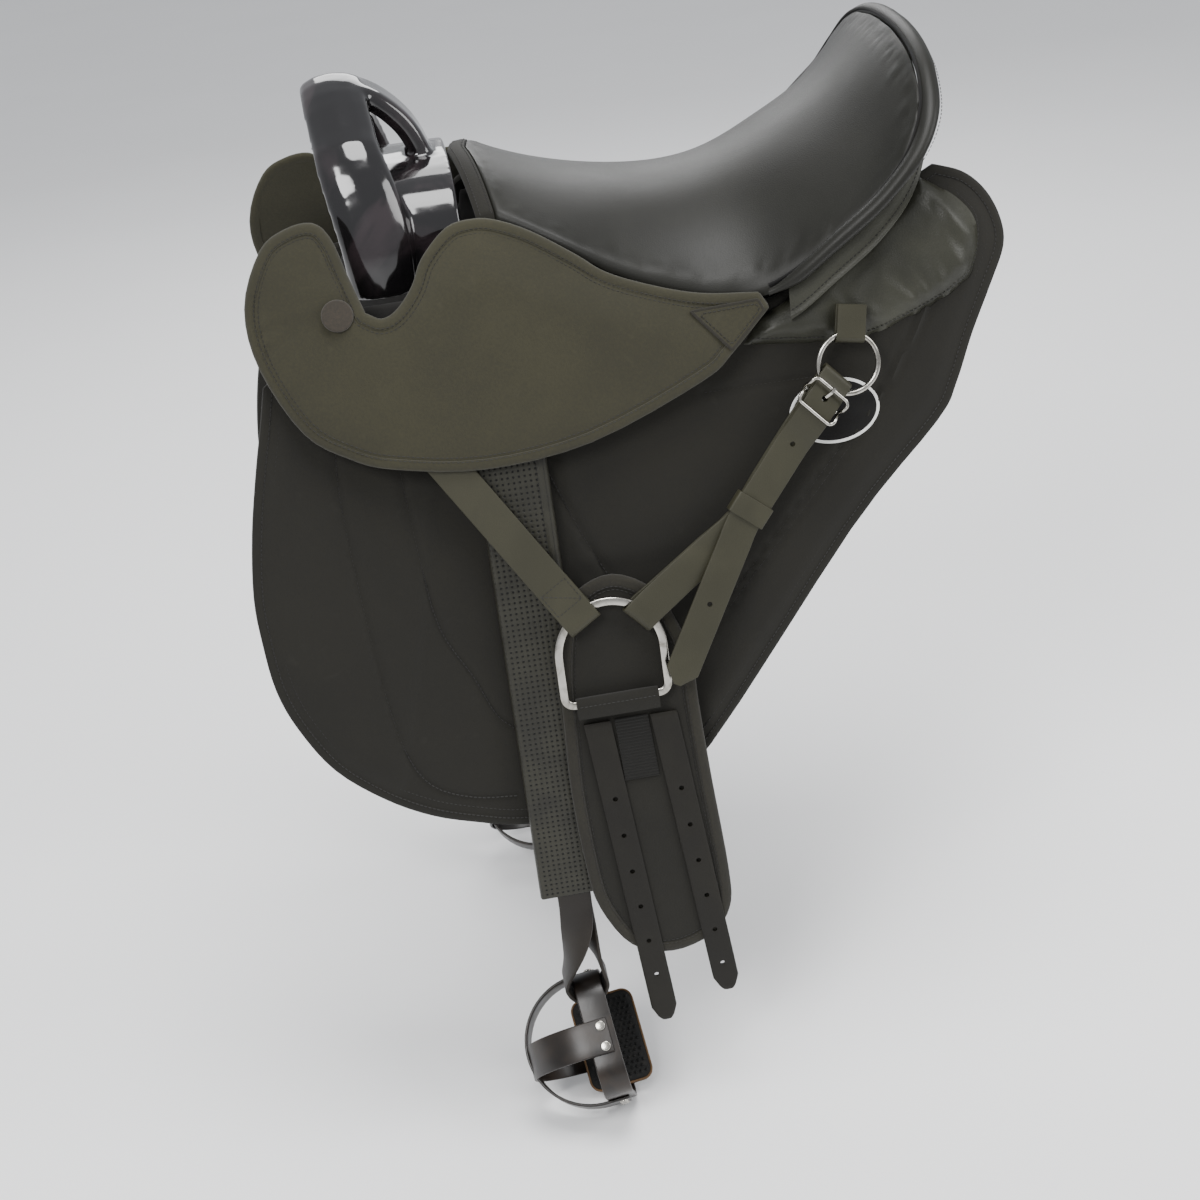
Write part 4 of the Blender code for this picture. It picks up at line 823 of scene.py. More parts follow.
def build_looks(tones):
    flap, flap_shade = toned(tones.flap), toned(tones.flap, 0.80)
    under, under_shade = toned(tones.under), toned(tones.under, 0.78)
    seat, seat_shade = toned(tones.seat), toned(tones.seat, 0.86)
    strap, strap_shade = toned(tones.strap), toned(tones.strap, 0.84)
    cover, cover_shade = paint(50, 50, 41), paint(36, 36, 29)
    hanging, hanging_shade = paint(32, 27, 21), paint(23, 19, 15)
    billet, billet_shade = paint(26, 24, 18), paint(19, 17, 13)
    LOOKS["flap"] = brushed("brushed flap cloth", flap, flap_shade, 0.10)
    LOOKS["under"] = brushed("under flap cloth", under, under_shade, 0.06)
    LOOKS["panel"] = brushed("panel felt", paint(26, 25, 23), paint(18, 17, 16), 0.05)
    LOOKS["tape"] = brushed("binding tape", paint(36, 34, 26), paint(26, 24, 19), 0.08)
    LOOKS["seat"] = leather("seat leather", seat, seat_shade, 0.42, 900, shine=0.24)
    LOOKS["cover"] = leather("cover leather", cover, cover_shade, 0.40, 640, 0.0004)
    LOOKS["strap"] = leather("strap leather", strap, strap_shade, 0.50, 1000)
    LOOKS["hanging"] = leather("stirrup leather", hanging, hanging_shade, 0.46, 900)
    LOOKS["billet"] = leather("billet leather", billet, billet_shade, 0.52, 1000, shine=0.22)
    LOOKS["button"] = brushed("button cloth", paint(50, 44, 36), paint(38, 34, 28), 0.12)
    LOOKS["thread"] = Finish("thread", roughness=0.7).look(paint(15, 14, 12))

    made = Finish("moulded plastic", coat_weight=0.35, coat_roughness=0.04, specular_ior_level=0.55)
    swirl = made.noise(9, 5, 2.6).step(0.45, 0.66)
    wave = made.noise(17, 2)
    base = made.mix(swirl, paint(15, 14, 15), paint(34, 28, 30))
    LOOKS["handle"] = made.look(base, 0.10 + swirl * 0.07, wave, 0.004, 0.35)

    made = Finish("nickel plating", metallic=1.0)
    rub = made.noise(70, 5, 0.8)
    scratch = made.noise(800, 3, 0.0, (1, 0.1, 1))
    base = made.mix(rub.step(0.4, 0.75), paint(176, 173, 166), paint(128, 125, 117))
    LOOKS["nickel"] = made.look(base, 0.12 + rub * 0.14 + scratch * 0.06, scratch, 0.00005, 0.4)

    made = Finish("tree shell", specular_ior_level=0.4)
    base = made.mix(made.noise(40, 4), paint(22, 22, 22), paint(32, 31, 30))
    LOOKS["shell"] = made.look(base, 0.5 + made.noise(300) * 0.2)

    made = Finish("sleeve leather", specular_ior_level=0.3)
    u, v = made.across()
    cu = (u / SLEEVE_GRID + 0.5).fraction() - 0.5
    cv = (v / SLEEVE_GRID + 0.5).fraction() - 0.5
    dots = 1 - (cu * cu + cv * cv).step(0.020, 0.062)
    plain = u.step(0.0228, 0.0236)
    dots = dots * (1 - plain)
    grain = made.noise(900, 2)
    base = made.mix(made.noise(30, 4).step(0.3, 0.7), paint(30, 29, 23), paint(40, 39, 31))
    base = made.mix(dots, base, paint(9, 9, 8))
    LOOKS["sleeve"] = made.look(base, 0.48 + dots * 0.3, grain - dots * 1.5, 0.0005, 0.7)

    made = Finish("ribbed elastic", specular_ior_level=0.25, sheen_weight=0.05)
    rib = made.noise(1300, 2, 0.0, (0.15, 1, 1))
    base = made.mix(rib, paint(12, 12, 11), paint(27, 26, 23))
    LOOKS["elastic"] = made.look(base, 0.8 + rib * 0.1, rib, 0.0003, 0.6)

    made = Finish("tread rubber", specular_ior_level=0.35)
    dust = made.noise(180, 4)
    base = made.mix(dust.step(0.5, 0.8), paint(16, 16, 15), paint(38, 36, 33))
    LOOKS["rubber"] = made.look(base, 0.7 + dust * 0.2, dust, 0.0003, 0.6)

    made = Finish("cage strap", specular_ior_level=0.4)
    cloud = made.noise(24, 4, 1.0)
    base = made.mix(cloud.step(0.35, 0.7), paint(18, 14, 11), paint(36, 28, 21))
    LOOKS["cage"] = made.look(base, 0.26 + cloud * 0.2, cloud, 0.0012, 0.3)

    made = Finish("cut edge", specular_ior_level=0.3)
    base = made.mix(made.noise(260, 3), paint(74, 54, 34), paint(106, 80, 52))
    LOOKS["cut"] = made.look(base, 0.6 + made.noise(90) * 0.2)

    made = Finish("patch border", specular_ior_level=0.3)
    thread = made.noise(1600, 2, 0.0, (0.3, 1, 1))
    base = made.mix(thread, paint(186, 186, 182), paint(232, 232, 228))
    LOOKS["pale"] = made.look(base, 0.7 + thread * 0.1, thread, 0.0004, 0.8)
    LOOKS["patch"] = brushed("patch cloth", paint(17, 16, 15), paint(11, 11, 10), 0.03)


# Seat and cantle


def seat_foot(edge):
    """The point of the seat's middle line that a point of its edge belongs to."""
    at = [point[0] for point in SEAT_SPINE]
    x = float(np.interp(edge[0], (SEAT_EDGE[0][0], 0.0, at[-1]), (at[0], 0.0, at[-1])))
    return np.array([x, 0.0, float(np.interp(x, at, [point[1] for point in SEAT_SPINE]))])


def seat_point(edge, share):
    """A point of the seat's top on the way from its middle line to its edge."""
    foot = seat_foot(edge)
    behind = min(max((edge[0] - 0.16) / 0.08, 0.0), 1.0)
    power = (1 - behind) * SEAT_CROWN_POWER + behind * SEAT_BACK_POWER
    flat = foot + (edge - foot) * share
    return np.array([flat[0], flat[1], foot[2] + (edge[2] - foot[2]) * share**power])


def front_point(corner, share):
    """A point of the seat's front line, from one corner at -1 to the other at 1."""
    return seat_point(corner, abs(share)) * np.array([1, 1 if share >= 0 else -1, 1])


def near_values(flat, samples, values):
    """Values at flat points from the nearest samples round each."""
    made = []
    for first in range(0, len(flat), 400):
        block = flat[first : first + 400]
        away = ((block[:, None, :] - samples[None]) ** 2).sum(-1)
        near = np.argpartition(away, 6, axis=1)[:, :6]
        weight = 1 / (np.take_along_axis(away, near, 1) + 1e-7)
        made.append((values[near] * weight[..., None]).sum(1) / weight.sum(1)[:, None])
    return np.vstack(made)


def seat_mesh():
    """The seat's smoothed top over its measured lines, with a rolled rim and an underside."""
    curve = smooth_run(SEAT_EDGE, 8)
    mirror = np.array([1, -1, 1])
    samples = []
    values = []
    for edge in curve:
        for share in np.linspace(0, 1, 36):
            point = seat_point(edge, share)
            for turned in (point, point * mirror):
                samples.append(turned[:2])
                values.append((turned[2], share))
    front = np.array([front_point(curve[0], share) for share in np.linspace(-1, 1, 41)[1:-1]])
    loop = np.vstack([curve, (curve[:-1] * mirror)[::-1], front])[:, :2]
    lines = [inset_line(loop, inward) for inward in (0.0015, 0.0040, 0.0080)]
    flat, faces = cut_sheet(loop, lines, pitch=0.005)
    found = near_values(flat, np.array(samples), np.array(values))
    high, share = found[:, 0], np.clip(found[:, 1], 0, 1)
    depth = line_distance(flat, loop, True)
    one, other = edge_pairs(faces).T
    count = np.bincount(one, minlength=len(flat)) + np.bincount(other, minlength=len(flat))
    loose = ease(depth / 0.030)
    for _ in range(60):
        total = np.bincount(one, high[other], len(flat)) + np.bincount(other, high[one], len(flat))
        high = high + (total / np.maximum(count, 1) - high) * loose * 0.8
    rim = np.clip(1 - depth / 0.005, 0, 1)
    top = high - SEAT_RIM_ROLL * (1 - np.sqrt(1 - rim**2))
    top = top + 0.0005 * ripple(flat[:, 0], flat[:, 1], 0.07, 4) * ease(depth / 0.02)
    low = high - (SEAT_CUSHION + (SEAT_EDGE_CUSHION - SEAT_CUSHION) * share**3)
    return shell(flat, faces, np.column_stack([flat, top]), np.column_stack([flat, low]))


def edge_frames(first_x):
    """The edge's points with their outward directions, from first_x round the back to first_x."""
    curve = smooth_run(SEAT_EDGE, 8)
    half = []
    for i, point in enumerate(curve):
        if point[0] >= first_x:
            along = unit(curve[min(i + 1, len(curve) - 1)] - curve[i - 1])
            half.append((point, unit(np.cross(along, (0, 0, 1)))))
    half[-1] = (half[-1][0], np.array([1.0, 0, 0]))
    mirror = np.array([1, -1, 1])
    both = half + [(point * mirror, outward * mirror) for point, outward in reversed(half[:-1])]
    return [(p, o if o.dot((p[0] - 0.1, p[1], 0)) > 0 else -o) for p, o in both]


def seam_along(frames, away, rise):
    """A line beside the edge's points, with its outward directions."""
    level = np.array([0, 0, rise])
    return [point + outward * away + level for point, outward in frames], [o for _, o in frames]


def build_seat():
    made = piece("seat_cover", *seat_mesh(), LOOKS["seat"], angle=60)
    ride(made, "saddle", "leather", "seat")
    corner = np.array(SEAT_EDGE[0])
    section = [(0.0, 0.000), (0.3, -0.0009), (0.7, -0.0003), (0.95, 0.0018), (1.0, 0.0034)]
    section += [(0.98, 0.0058), (0.9, 0.0070), (0.3, 0.0105), (0.0, FRONT_BAND_DEEP)]
    rows = []
    seam = []
    for share in np.linspace(-1.0, 1.0, 61):
        top = front_point(corner, share) + np.array([-GAP, 0, -0.001])
        rows.append([top + np.array([-u * FRONT_BAND_WIDE, 0, -v]) for u, v in section])
        seam.append(top + np.array([-0.0022, 0, 0.0007]))
    made = piece("seat_front_strip", *rows_to_mesh(rows), LOOKS["under"], angle=60)
    ride(made, "saddle", "cloth", "seat_front_band")
    far = [point + np.array([-0.0100, 0, -0.0008]) for point in seam]
    runs = [(seam, (0, 0, 1)), (far, (-0.5, 0, 1))]
    sew("front_strip_stitching", runs, 1, "saddle", "cloth")


def build_cantle():
    up = np.array([0, 0, 1.0])
    frames = edge_frames(ROLL_FROM_X)
    count = len(frames)
    taper = [min(1, 0.35 + 0.65 * ease(min(i, count - 1 - i) / 8)) for i in range(count)]
    section = oval(2 * ROLL_RADIUS, 2 * ROLL_RADIUS, 18)
    rows = []
    for (point, outward), scale in zip(frames, taper):
        centre = point + outward * (ROLL_RADIUS + GAP) - up * SEAT_RIM_ROLL
        rows.append([centre + (outward * u + up * v) * scale for u, v in section])
    made = piece("cantle_welt", *rows_to_mesh(rows), LOOKS["seat"])
    ride(made, "saddle", "leather", "cantle_roll")
    path, outs = seam_along(frames, 0.0012, 0.0002)
    made = swept("cantle_piping", path, outs, oval(0.0032, 0.0032, 10), LOOKS["patch"])
    ride(made, "saddle", "leather")
    section = [(-0.0035, -0.0155), (0.0002, -0.0128), (0.0016, -0.0150), (0.0020, -0.0260)]
    section += [(0.0016, -0.0350), (0.0028, -0.0372), (0.0034, -0.0392), (0.0024, -0.0412)]
    section += [(0.0002, -0.0414), (-0.0045, -0.0410)]
    band = edge_frames(BAND_FROM_X)
    rows = [[point + outward * u + up * v for u, v in section] for point, outward in band]
    made = piece("cantle_binding", *rows_to_mesh(rows), LOOKS["cover"], angle=50)
    ride(made, "saddle", "cloth", "cantle_band")
    # The upper seam stops short of the flaps, which lift
    runs = [seam_along(band, 0.0021, -0.0330), seam_along(frames[6:-6], 0.0188, -0.0065)]
    sew("cantle_stitching", runs, 1, "saddle", "leather")


def smoothed_copy(node, name, voxel, turns, look, angle):
    """A merged copy of a frame solid, evened out into a soft moulded skin."""
    data = frame["nodes"][node].data.copy()
    made = bpy.data.objects.new(name, data)
    bpy.context.scene.collection.objects.link(made)
    only(made)
    bpy.ops.object.mode_set(mode="EDIT")
    bpy.ops.mesh.select_all(action="SELECT")
    bpy.ops.mesh.remove_doubles(threshold=1e-5)
    bpy.ops.object.mode_set(mode="OBJECT")
    remesh = made.modifiers.new("Remesh", "REMESH")
    remesh.mode = "VOXEL"
    remesh.voxel_size = voxel
    bpy.ops.object.modifier_apply(modifier="Remesh")
    smooth = made.modifiers.new("Smooth", "SMOOTH")
    smooth.factor = 0.5
    smooth.iterations = turns
    bpy.ops.object.modifier_apply(modifier="Smooth")
    data = made.data
    for layer in [layer.name for layer in data.uv_layers]:
        data.uv_layers.remove(data.uv_layers[layer])
    data.materials.clear()
    data.materials.append(look)
    bpy.ops.object.shade_smooth_by_angle(angle=radians(angle))
    data.name = name
    return made


def build_handle():
    made = smoothed_copy("pommel_handle", "pommel_grip", 0.0022, 14, LOOKS["handle"], 80)
    ride(made, "saddle", "moulded_plastic", "pommel_handle")


# Flaps

UPPER_FLAP = outline(
    [(-234, 3), (-244, 35), (-253, 66), (-266, 80), (-290, 78), (-313, 64), (-334, 21),
     (-330, -29), (-302, -87), (-267, -113), (-230, -127), (-151, -139), (-56, -130),
     (48, -93), (78, -73), (115, -40)],
    [(115, -40), (108, -28)],
    [(108, -28), (58, -22), (15, -9), (-22, 7), (-46, 25), (-82, 49), (-111, 62), (-131, 65),
     (-153, 61), (-177, 40), (-189, 19), (-205, 2), (-220, -4), (-234, 3)],
)
LOWER_FLAP = outline(
    [(-331, -51), (-339, -82), (-350, -121), (-363, -174), (-372, -231), (-372, -275),
     (-368, -320), (-355, -360), (-329, -406), (-289, -443), (-248, -468), (-206, -483),
     (-171, -492), (-120, -496), (-70, -490), (-25, -472), (20, -443), (172, -255),
     (262, -167), (282, -137), (301, -95), (323, -54), (338, -24), (338, -1), (328, 23),
     (310, 41), (284, 51)],
    [(284, 51), (230, 26), (190, 0), (150, -30), (108, -42), (58, -36), (15, -23), (-22, -8),
     (-46, 8), (-82, 30), (-108, 40)],
    [(-108, 40), (-124, 40), (-138, 24), (-150, 2), (-172, -6), (-210, -8), (-250, -14),
     (-300, -30), (-331, -51)],
)
REAR_COVER = outline(
    [(93, -72), (179, -81), (222, -77), (288, -53), (309, -33), (315, 2), (298, 27), (269, 46)],
    [(269, 46), (225, 20), (180, -14), (140, -38), (112, -52), (93, -72)],
)
COVER_FREE = [(179, -81), (222, -77), (288, -53), (309, -33), (315, 2)]
GIRTH_PAD = outline(
    [(-114, -387.2), (-112, -345), (-104, -300), (-88, -266), (-53, -254), (-18, -274),
     (0, -310), (9, -345), (10, -387.2), (14, -464), (21, -568), (18, -608), (-2, -634),
     (-41, -645), (-79, -630), (-104, -585), (-112, -537), (-116, -456), (-114, -387.2)],
)
GUSSET = outline([(47, -34), (78, -70), (110, -41)], [(110, -41), (106, -32), (47, -34)], per=1)

# Sewn lines of the lower flap, of its rear channel and of the upper flap by its button
FLAP_SEAMS = [
    [(-279, -112), (-282, -150), (-281, -205), (-277, -280), (-272, -342), (-263, -400),
     (-244, -438), (-207, -457), (-165, -463)],
    [(-226, -140), (-222, -210), (-214, -285), (-190, -338), (-175, -377), (-160, -394)],
    [(-100, -150), (-91, -174), (-75, -217), (-57, -258), (-45, -280)],
    [(52, -113), (104, -113), (156, -114)],
]
CHANNEL_SEAMS = [
    [(286, -20), (270, -62), (234, -116), (180, -178), (26, -339), (-5, -392)],
    [(272, -24), (256, -66), (220, -122), (165, -184), (11, -346), (-20, -399)],
]
BUTTON_SEAMS = [[(-268, -4), (-289, -3.5), (-330, -8)], [(-266, -9), (-299, -13), (-326, -26)]]


def in_metres(line):
    """A smooth line through points in millimetres."""
    return smooth_run(line, 4) * MM


def seam_lift(x):
    """How far out the upper flap's inner face lies along its seam."""
    return UPPER_SEAM_LIFT + np.interp(x, (0.0, 0.06, 0.115), (0.0, 0.004, 0.009))


def upper_back(x, z):
    """The upper flap's inner face: close at the seat, clear of the straps, low at its front."""
    at = (-0.33, -0.20, -0.13, -0.05, 0.06, 0.115)
    seam = np.interp(x, at, (0.050, 0.030, 0.055, 0.015, -0.030, -0.048))
    low = np.interp(x, (-0.34, -0.235), (UPPER_FRONT_LIFT, UPPER_FULL_LIFT))
    top = seam_lift(x)
    return top + (low - top) * ease((seam - z) / 0.050)


def upper_front(x, z):
    return upper_back(x, z) + UPPER_FLAP_THICK


def over_upper(rise):
    """Places a rise above the upper flap's outer face."""
    return lambda x, z: upper_front(x, z) + rise


def level_at(lift):
    """Places at one lift."""
    return lambda x, z: lift + 0 * x


def grooves(flat, lines, wide, deep):
    """How far sewn lines pull a padded face in."""
    pull = np.zeros(len(flat))
    for line in lines:
        pull = np.maximum(pull, np.exp(-((line_distance(flat, line) / wide) ** 2)))
    return pull * deep


def build_upper_flaps():
    flap = laid(UPPER_FLAP, 0.025)
    seams = [in_metres(line) for line in BUTTON_SEAMS]
    flat, faces = cut_sheet(flap, seams, pitch=0.0040)
    x, z = flat[:, 0], flat[:, 1]
    depth = line_distance(flat, flap, True)
    full = ease(depth / 0.024)
    front = upper_front(x, z) + 0.0014 * full + 0.0006 * ripple(x, z, 0.11, 2) * full
    front = front + 0.00022 * ripple(x, z, 0.022, 5) * full - grooves(flat, seams, 0.0035, 0.0010)
    back = upper_back(x, z) + 0.0007 * full
    runs = side_runs([inset_line(flap, UPPER_TAPE_WIDE + 0.0022)], over_upper(0.0006))
    runs += side_runs([inset_line(flap, UPPER_TAPE_WIDE - 0.0016)], over_upper(0.0015))
    corner = laid(GUSSET, 0.028)
    corner_runs = side_runs([inset_line(corner, 0.003)], over_upper(0.0034))
    sheet_flat, sheet_faces = cut_sheet(corner, [], pitch=0.003)
    low = upper_front(*sheet_flat.T) + 0.0016
    a, b, c = on_layer(sheet_flat, low)[sheet_faces].transpose(1, 0, 2)
    area = np.linalg.norm(np.cross(b - a, c - a), axis=1).sum() / 2
    edge = spaced(corner, 0.002, closed=True)
    fold = on_layer(edge, over_upper(0.0024)(*edge.T))
    for name, side in SIDES.items():
        body = f"flap_{name}"
        made = plate(f"upper_flap_cloth_{name}", flat, faces, back, front, LOOKS["flap"], side)
        ride(made, body, "padded_cloth", f"upper_flap_{name}")
        tape = f"upper_flap_tape_{name}"
        look = LOOKS["flap"]
        made = binding(tape, flap, upper_back, upper_front, look, side, UPPER_TAPE_WIDE, 0.0016)
        ride(made, body, "padded_cloth")
        sew(f"upper_flap_stitching_{name}", runs, side, body, "padded_cloth")

        # The folded corner piece on the flap
        made = plate(f"flap_corner_{name}", sheet_flat, sheet_faces, low, low + 0.0015, look, side)
        ride(made, body, "cloth", f"flap_gusset_{name}")
        sew(f"flap_corner_stitching_{name}", corner_runs, side, body, "cloth")
        section = oval(0.0022, 0.0030, 8)
        ways = side_normals(edge)
        made = swept(f"flap_corner_edge_{name}", fold, ways, section, LOOKS["tape"], side, True)
        ride(made, body, "cloth")

        # The covered button
        lift = float(upper_front(*BUTTON_AT)) + 0.0026
        centre = on_side(*BUTTON_AT, lift)
        turn = turned_to(on_side(*BUTTON_AT, lift + 0.004) - centre)
        bpy.ops.object.select_all(action="DESELECT")
        bpy.ops.mesh.primitive_cylinder_add(
            vertices=40, radius=BUTTON_RADIUS, depth=0.0046, location=centre, rotation=turn
        )
        made = bpy.context.object
        bpy.ops.object.mode_set(mode="EDIT")
        bpy.ops.mesh.select_all(action="DESELECT")
        bpy.ops.object.mode_set(mode="OBJECT")
        dish(made, BUTTON_RADIUS * 0.45, 0.0009, 0.0019, 4)
        settle(made, f"flap_button_cover_{name}", LOOKS["button"], 60, side)
        ride(made, body, "leather", f"flap_button_{name}")


def sleeve_clear(x, z):
    """0 where the hanging sleeve lies or swings over the flap, 1 well away from it."""
    ahead = LEATHER_X - x
    down = BAR_Z - 0.01 - z
    turn = np.clip(np.arctan2(ahead, np.maximum(down, 1e-6)), radians(-1), radians(15))
    away = np.abs(ahead * np.cos(turn) - down * np.sin(turn))
    return ease((away - SLEEVE_WIDE / 2 - 0.003) / 0.012)


def build_lower_flaps():
    flap = laid(LOWER_FLAP, FLAP_THICK)
    seams = [in_metres(line) for line in FLAP_SEAMS]
    channels = [in_metres(line) for line in CHANNEL_SEAMS]
    flat, faces = cut_sheet(flap, seams + channels, pitch=0.0046)
    x, z = flat[:, 0], flat[:, 1]
    depth = line_distance(flat, flap, True)
    full = ease((depth - 0.004) / 0.020)
    # Kept low where the sleeve swings over it and under the girth straps
    free = sleeve_clear(x, z)
    under_pad = ease((x + 0.13) / 0.02) * ease((0.03 - x) / 0.02) * ease((-0.24 - z) / 0.02)
    free = free * (1 - 0.75 * under_pad)
    channel = line_distance(flat, (channels[0] + channels[1]) / 2)
    rib = np.exp(-((channel / 0.0055) ** 2)) * 0.0012
    uneven = 0.0007 * ripple(x, z, 0.12, 8) + 0.0003 * ripple(x, z, 0.035, 9)
    puff = (0.0030 + uneven) * full + rib
    pulled = grooves(flat, seams, 0.0034, 0.0026) + grooves(flat, channels, 0.0028, 0.0021)
    front = FLAP_THICK + puff * free - pulled * np.clip(free + 0.5, 0, 1)

    def padded_face(x, z):
        return FLAP_THICK - 0.0002 + 0.0015 * sleeve_clear(x, z)

    runs = side_runs([inset_line(flap, 0.0155), *channels], padded_face)
    runs += side_runs([inset_line(flap, 0.0072)], level_at(FLAP_THICK + 0.0006))
    runs += side_runs(seams, level_at(FLAP_THICK + 0.0002))
    patch = np.array(PATCH_AT) + np.array(oval(2 * PATCH_HALF[0], 2 * PATCH_HALF[1], 72))
    patch_flat, patch_faces = cut_sheet(patch, [], pitch=0.0035)
    ring = spaced(patch, 0.002, closed=True)
    low = FLAP_THICK + 0.0018
    path, ways = on_layer(ring, low + 0.0014), side_normals(ring)
    for name, side in SIDES.items():
        look = LOOKS["under"]
        made = plate(f"lower_flap_cloth_{name}", flat, faces, 0.0, front, look, side)
        ride(made, "saddle", "padded_cloth", f"lower_flap_{name}")
        tape = f"lower_flap_tape_{name}"
        faced = (level_at(0.0002), level_at(FLAP_THICK))
        ride(binding(tape, flap, *faced, look, side, 0.0085, 0.0006), "saddle", "padded_cloth")
        sew(f"lower_flap_stitching_{name}", runs, side, "saddle", "padded_cloth", 0.0011)

        look = LOOKS["patch"]
        made = plate(f"flap_patch_{name}", patch_flat, patch_faces, low, low + 0.0016, look, side)
        ride(made, "saddle", "cloth")
        section = oval(0.0011, 0.0030, 8)
        made = swept(f"flap_patch_border_{name}", path, ways, section, LOOKS["pale"], side, True)
        ride(made, "saddle", "cloth")


def build_rear_covers():
    cover = laid(REAR_COVER, COVER_LIFT)
    lines = [inset_line(cover, inward) for inward in (0.004, 0.009)]
    flat, faces = cut_sheet(cover, lines, pitch=0.0038)
    x, z = flat[:, 0], flat[:, 1]
    depth = line_distance(flat, cover, True)
    rise = FLAP_THICK + 0.003 + COVER_RISE * np.sin(pi / 2 * np.clip(depth / 0.018, 0, 1))
    reach = line_distance(flat, in_metres([*COVER_FREE, (298, 27)]))
    fold = np.sin((x * 0.80 + z * 0.60) * 2 * pi / 0.021 + 3.0 * ripple(x, z, 0.06, 3))
    gather = np.exp(-((reach / 0.026) ** 2)) * ease(reach / 0.006)
    drape = np.sin((x * 0.93 - z * 0.38) * 2 * pi / 0.052 + 2.0 * ripple(x, z, 0.09, 6))
    front = rise + 0.0017 * fold * gather + 0.0012 * drape * ease(depth / 0.02)
    front = front + 0.0005 * ripple(x, z, 0.03, 7) * ease(depth / 0.01)
    seam = laid(in_metres([(100, -72), *COVER_FREE, (300, 24)]), COVER_LIFT)
    runs = side_runs([seam + np.array([-0.0006, 0.0045])], level_at(FLAP_THICK + 0.0085))
    for name, side in SIDES.items():
        cover = f"rear_cover_leather_{name}"
        made = plate(cover, flat, faces, FLAP_THICK + GAP, front, LOOKS["cover"], side)
        ride(made, "saddle", "leather", f"rear_panel_cover_{name}")
        sew(f"rear_cover_stitching_{name}", runs, side, "saddle", "leather")
        made = smoothed_copy(f"panel_{name}", f"panel_pad_{name}", 0.0045, 8, LOOKS["panel"], 60)
        ride(made, "saddle", "padded_cloth", f"panel_{name}")


# Girth pad and straps


def strap_edge(flat, loop, base, thick):
    """The face of a cut strap, a little lower along its trimmed edge."""
    depth = line_distance(flat, loop, True)
    return base + thick - 0.0007 * np.clip(1 - depth / 0.0012, 0, 1) ** 2


def billet_loop(x, foot_x, foot_z):
    """A girth strap's outline, with how far it leans for each metre down."""
    half = BILLET_WIDE / 2
    lean = (foot_x - x) / (foot_z - BILLET_TOP_Z)
    ends = [(half * 0.3, foot_z), (half * 0.6, foot_z + 0.004), (half, foot_z + 0.016)]
    ends += [(half, BILLET_TOP_Z)]
    ends = [(-u, z) for u, z in reversed(ends)] + ends
    return np.array([(x + lean * (z - BILLET_TOP_Z) + u, z) for u, z in ends]), lean


def build_girth_straps():
    pad = laid(GIRTH_PAD, PAD_LIFT)
    flat, faces = cut_sheet(pad, [in_metres([(-100, -383), (-3, -383)])], pitch=0.0040)
    full = ease((line_distance(flat, pad, True) - 0.004) / 0.014)
    top = PAD_LIFT + PAD_THICK
    front = top - 0.0004 * (1 - full) + 0.0002 * ripple(*flat.T, 0.03, 12)
    faced = (level_at(PAD_LIFT), level_at(top))
    runs = side_runs([inset_line(pad, 0.0120)], level_at(top + 0.0001))
    runs += side_runs([inset_line(pad, 0.0088)], level_at(top + 0.0007))
    turn = on_side(DEE_X, HANGER_Z, top)
    base = top + GAP
    middle, normal, down = bar_place()
    folds = []
    for share in (0.0005, 0.0095):
        level = middle + normal * 0.0064 + down * share
        folds.append(([level + (u, 0, 0) for u in np.linspace(-0.036, 0.036, 20)], normal))
    for name, side in SIDES.items():
        straps = f"girth_straps_{name}"
        cloth, tape = f"girth_pad_cloth_{name}", f"girth_pad_tape_{name}"
        parts = [
            plate(cloth, flat, faces, PAD_LIFT, front, LOOKS["under"], side),
            binding(tape, pad, *faced, LOOKS["tape"], side, 0.0100, 0.0007),
            stitches(f"girth_pad_stitching_{name}", runs, side, 0.0007),
        ]
        for made in parts:
            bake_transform(made)
        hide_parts(f"ring_pad_{name}", f"billet_pad_{name}")

        for part, shape in BILLETS.items():
            loop, lean = billet_loop(*shape)
            at = [(shape[0] + lean * (z - BILLET_TOP_Z), z) for z in BILLET_HOLES]
            holes = [arc(spot, STRAP_HOLE, 0, 360, 16)[:-1] for spot in at]
            cut, cut_faces = cut_sheet(loop, [inset_line(loop, 0.0011)], holes, pitch=0.0030)
            over = strap_edge(cut, loop, base, BILLET_THICK)
            for spot in at:
                over = over - 0.0004 * np.exp(-((np.hypot(*(cut - spot).T) / 0.0042) ** 2))
            over = over + 0.00015 * ripple(*cut.T, 0.04, 13)
            made = plate(f"{part}_strap_{name}", cut, cut_faces, base, over, LOOKS["billet"], side)
            ride(made, straps, "leather", f"{part}_{name}")

        # Elastic between the two straps: a sheet with raised ribs
        made = elastic_web(f"elastic_ribbed_{name}", base, side)
        ride(made, straps, "cloth", f"elastic_web_{name}")

        made = bar_fold(f"bar_fold_{name}", side)
        ride(made, "saddle", "leather", f"bar_loop_{name}")
        sew(f"bar_fold_stitching_{name}", folds, side, "saddle", "leather")


def elastic_web(name, base, side):
    """The ribbed elastic, as rows across it from top to foot."""
    rows = []
    for z in np.linspace(BILLET_TOP_Z, ELASTIC_FOOT_Z, 100):
        share = (BILLET_TOP_Z - z) / (BILLET_TOP_Z - ELASTIC_FOOT_Z)
        left = -0.0685 + 0.0025 * share
        right = -0.0375 + 0.0040 * share
        lift = base + 0.0012 + 0.00035 * np.sin((BILLET_TOP_Z - z) / ELASTIC_RIB * 2 * pi)
        across = np.linspace(left, right, 9)
        rows.append(np.vstack([on_side(across, z, lift), on_side(across[::-1], z, base)]))
    return piece(name, *rows_to_mesh(rows), LOOKS["elastic"], side, 60)


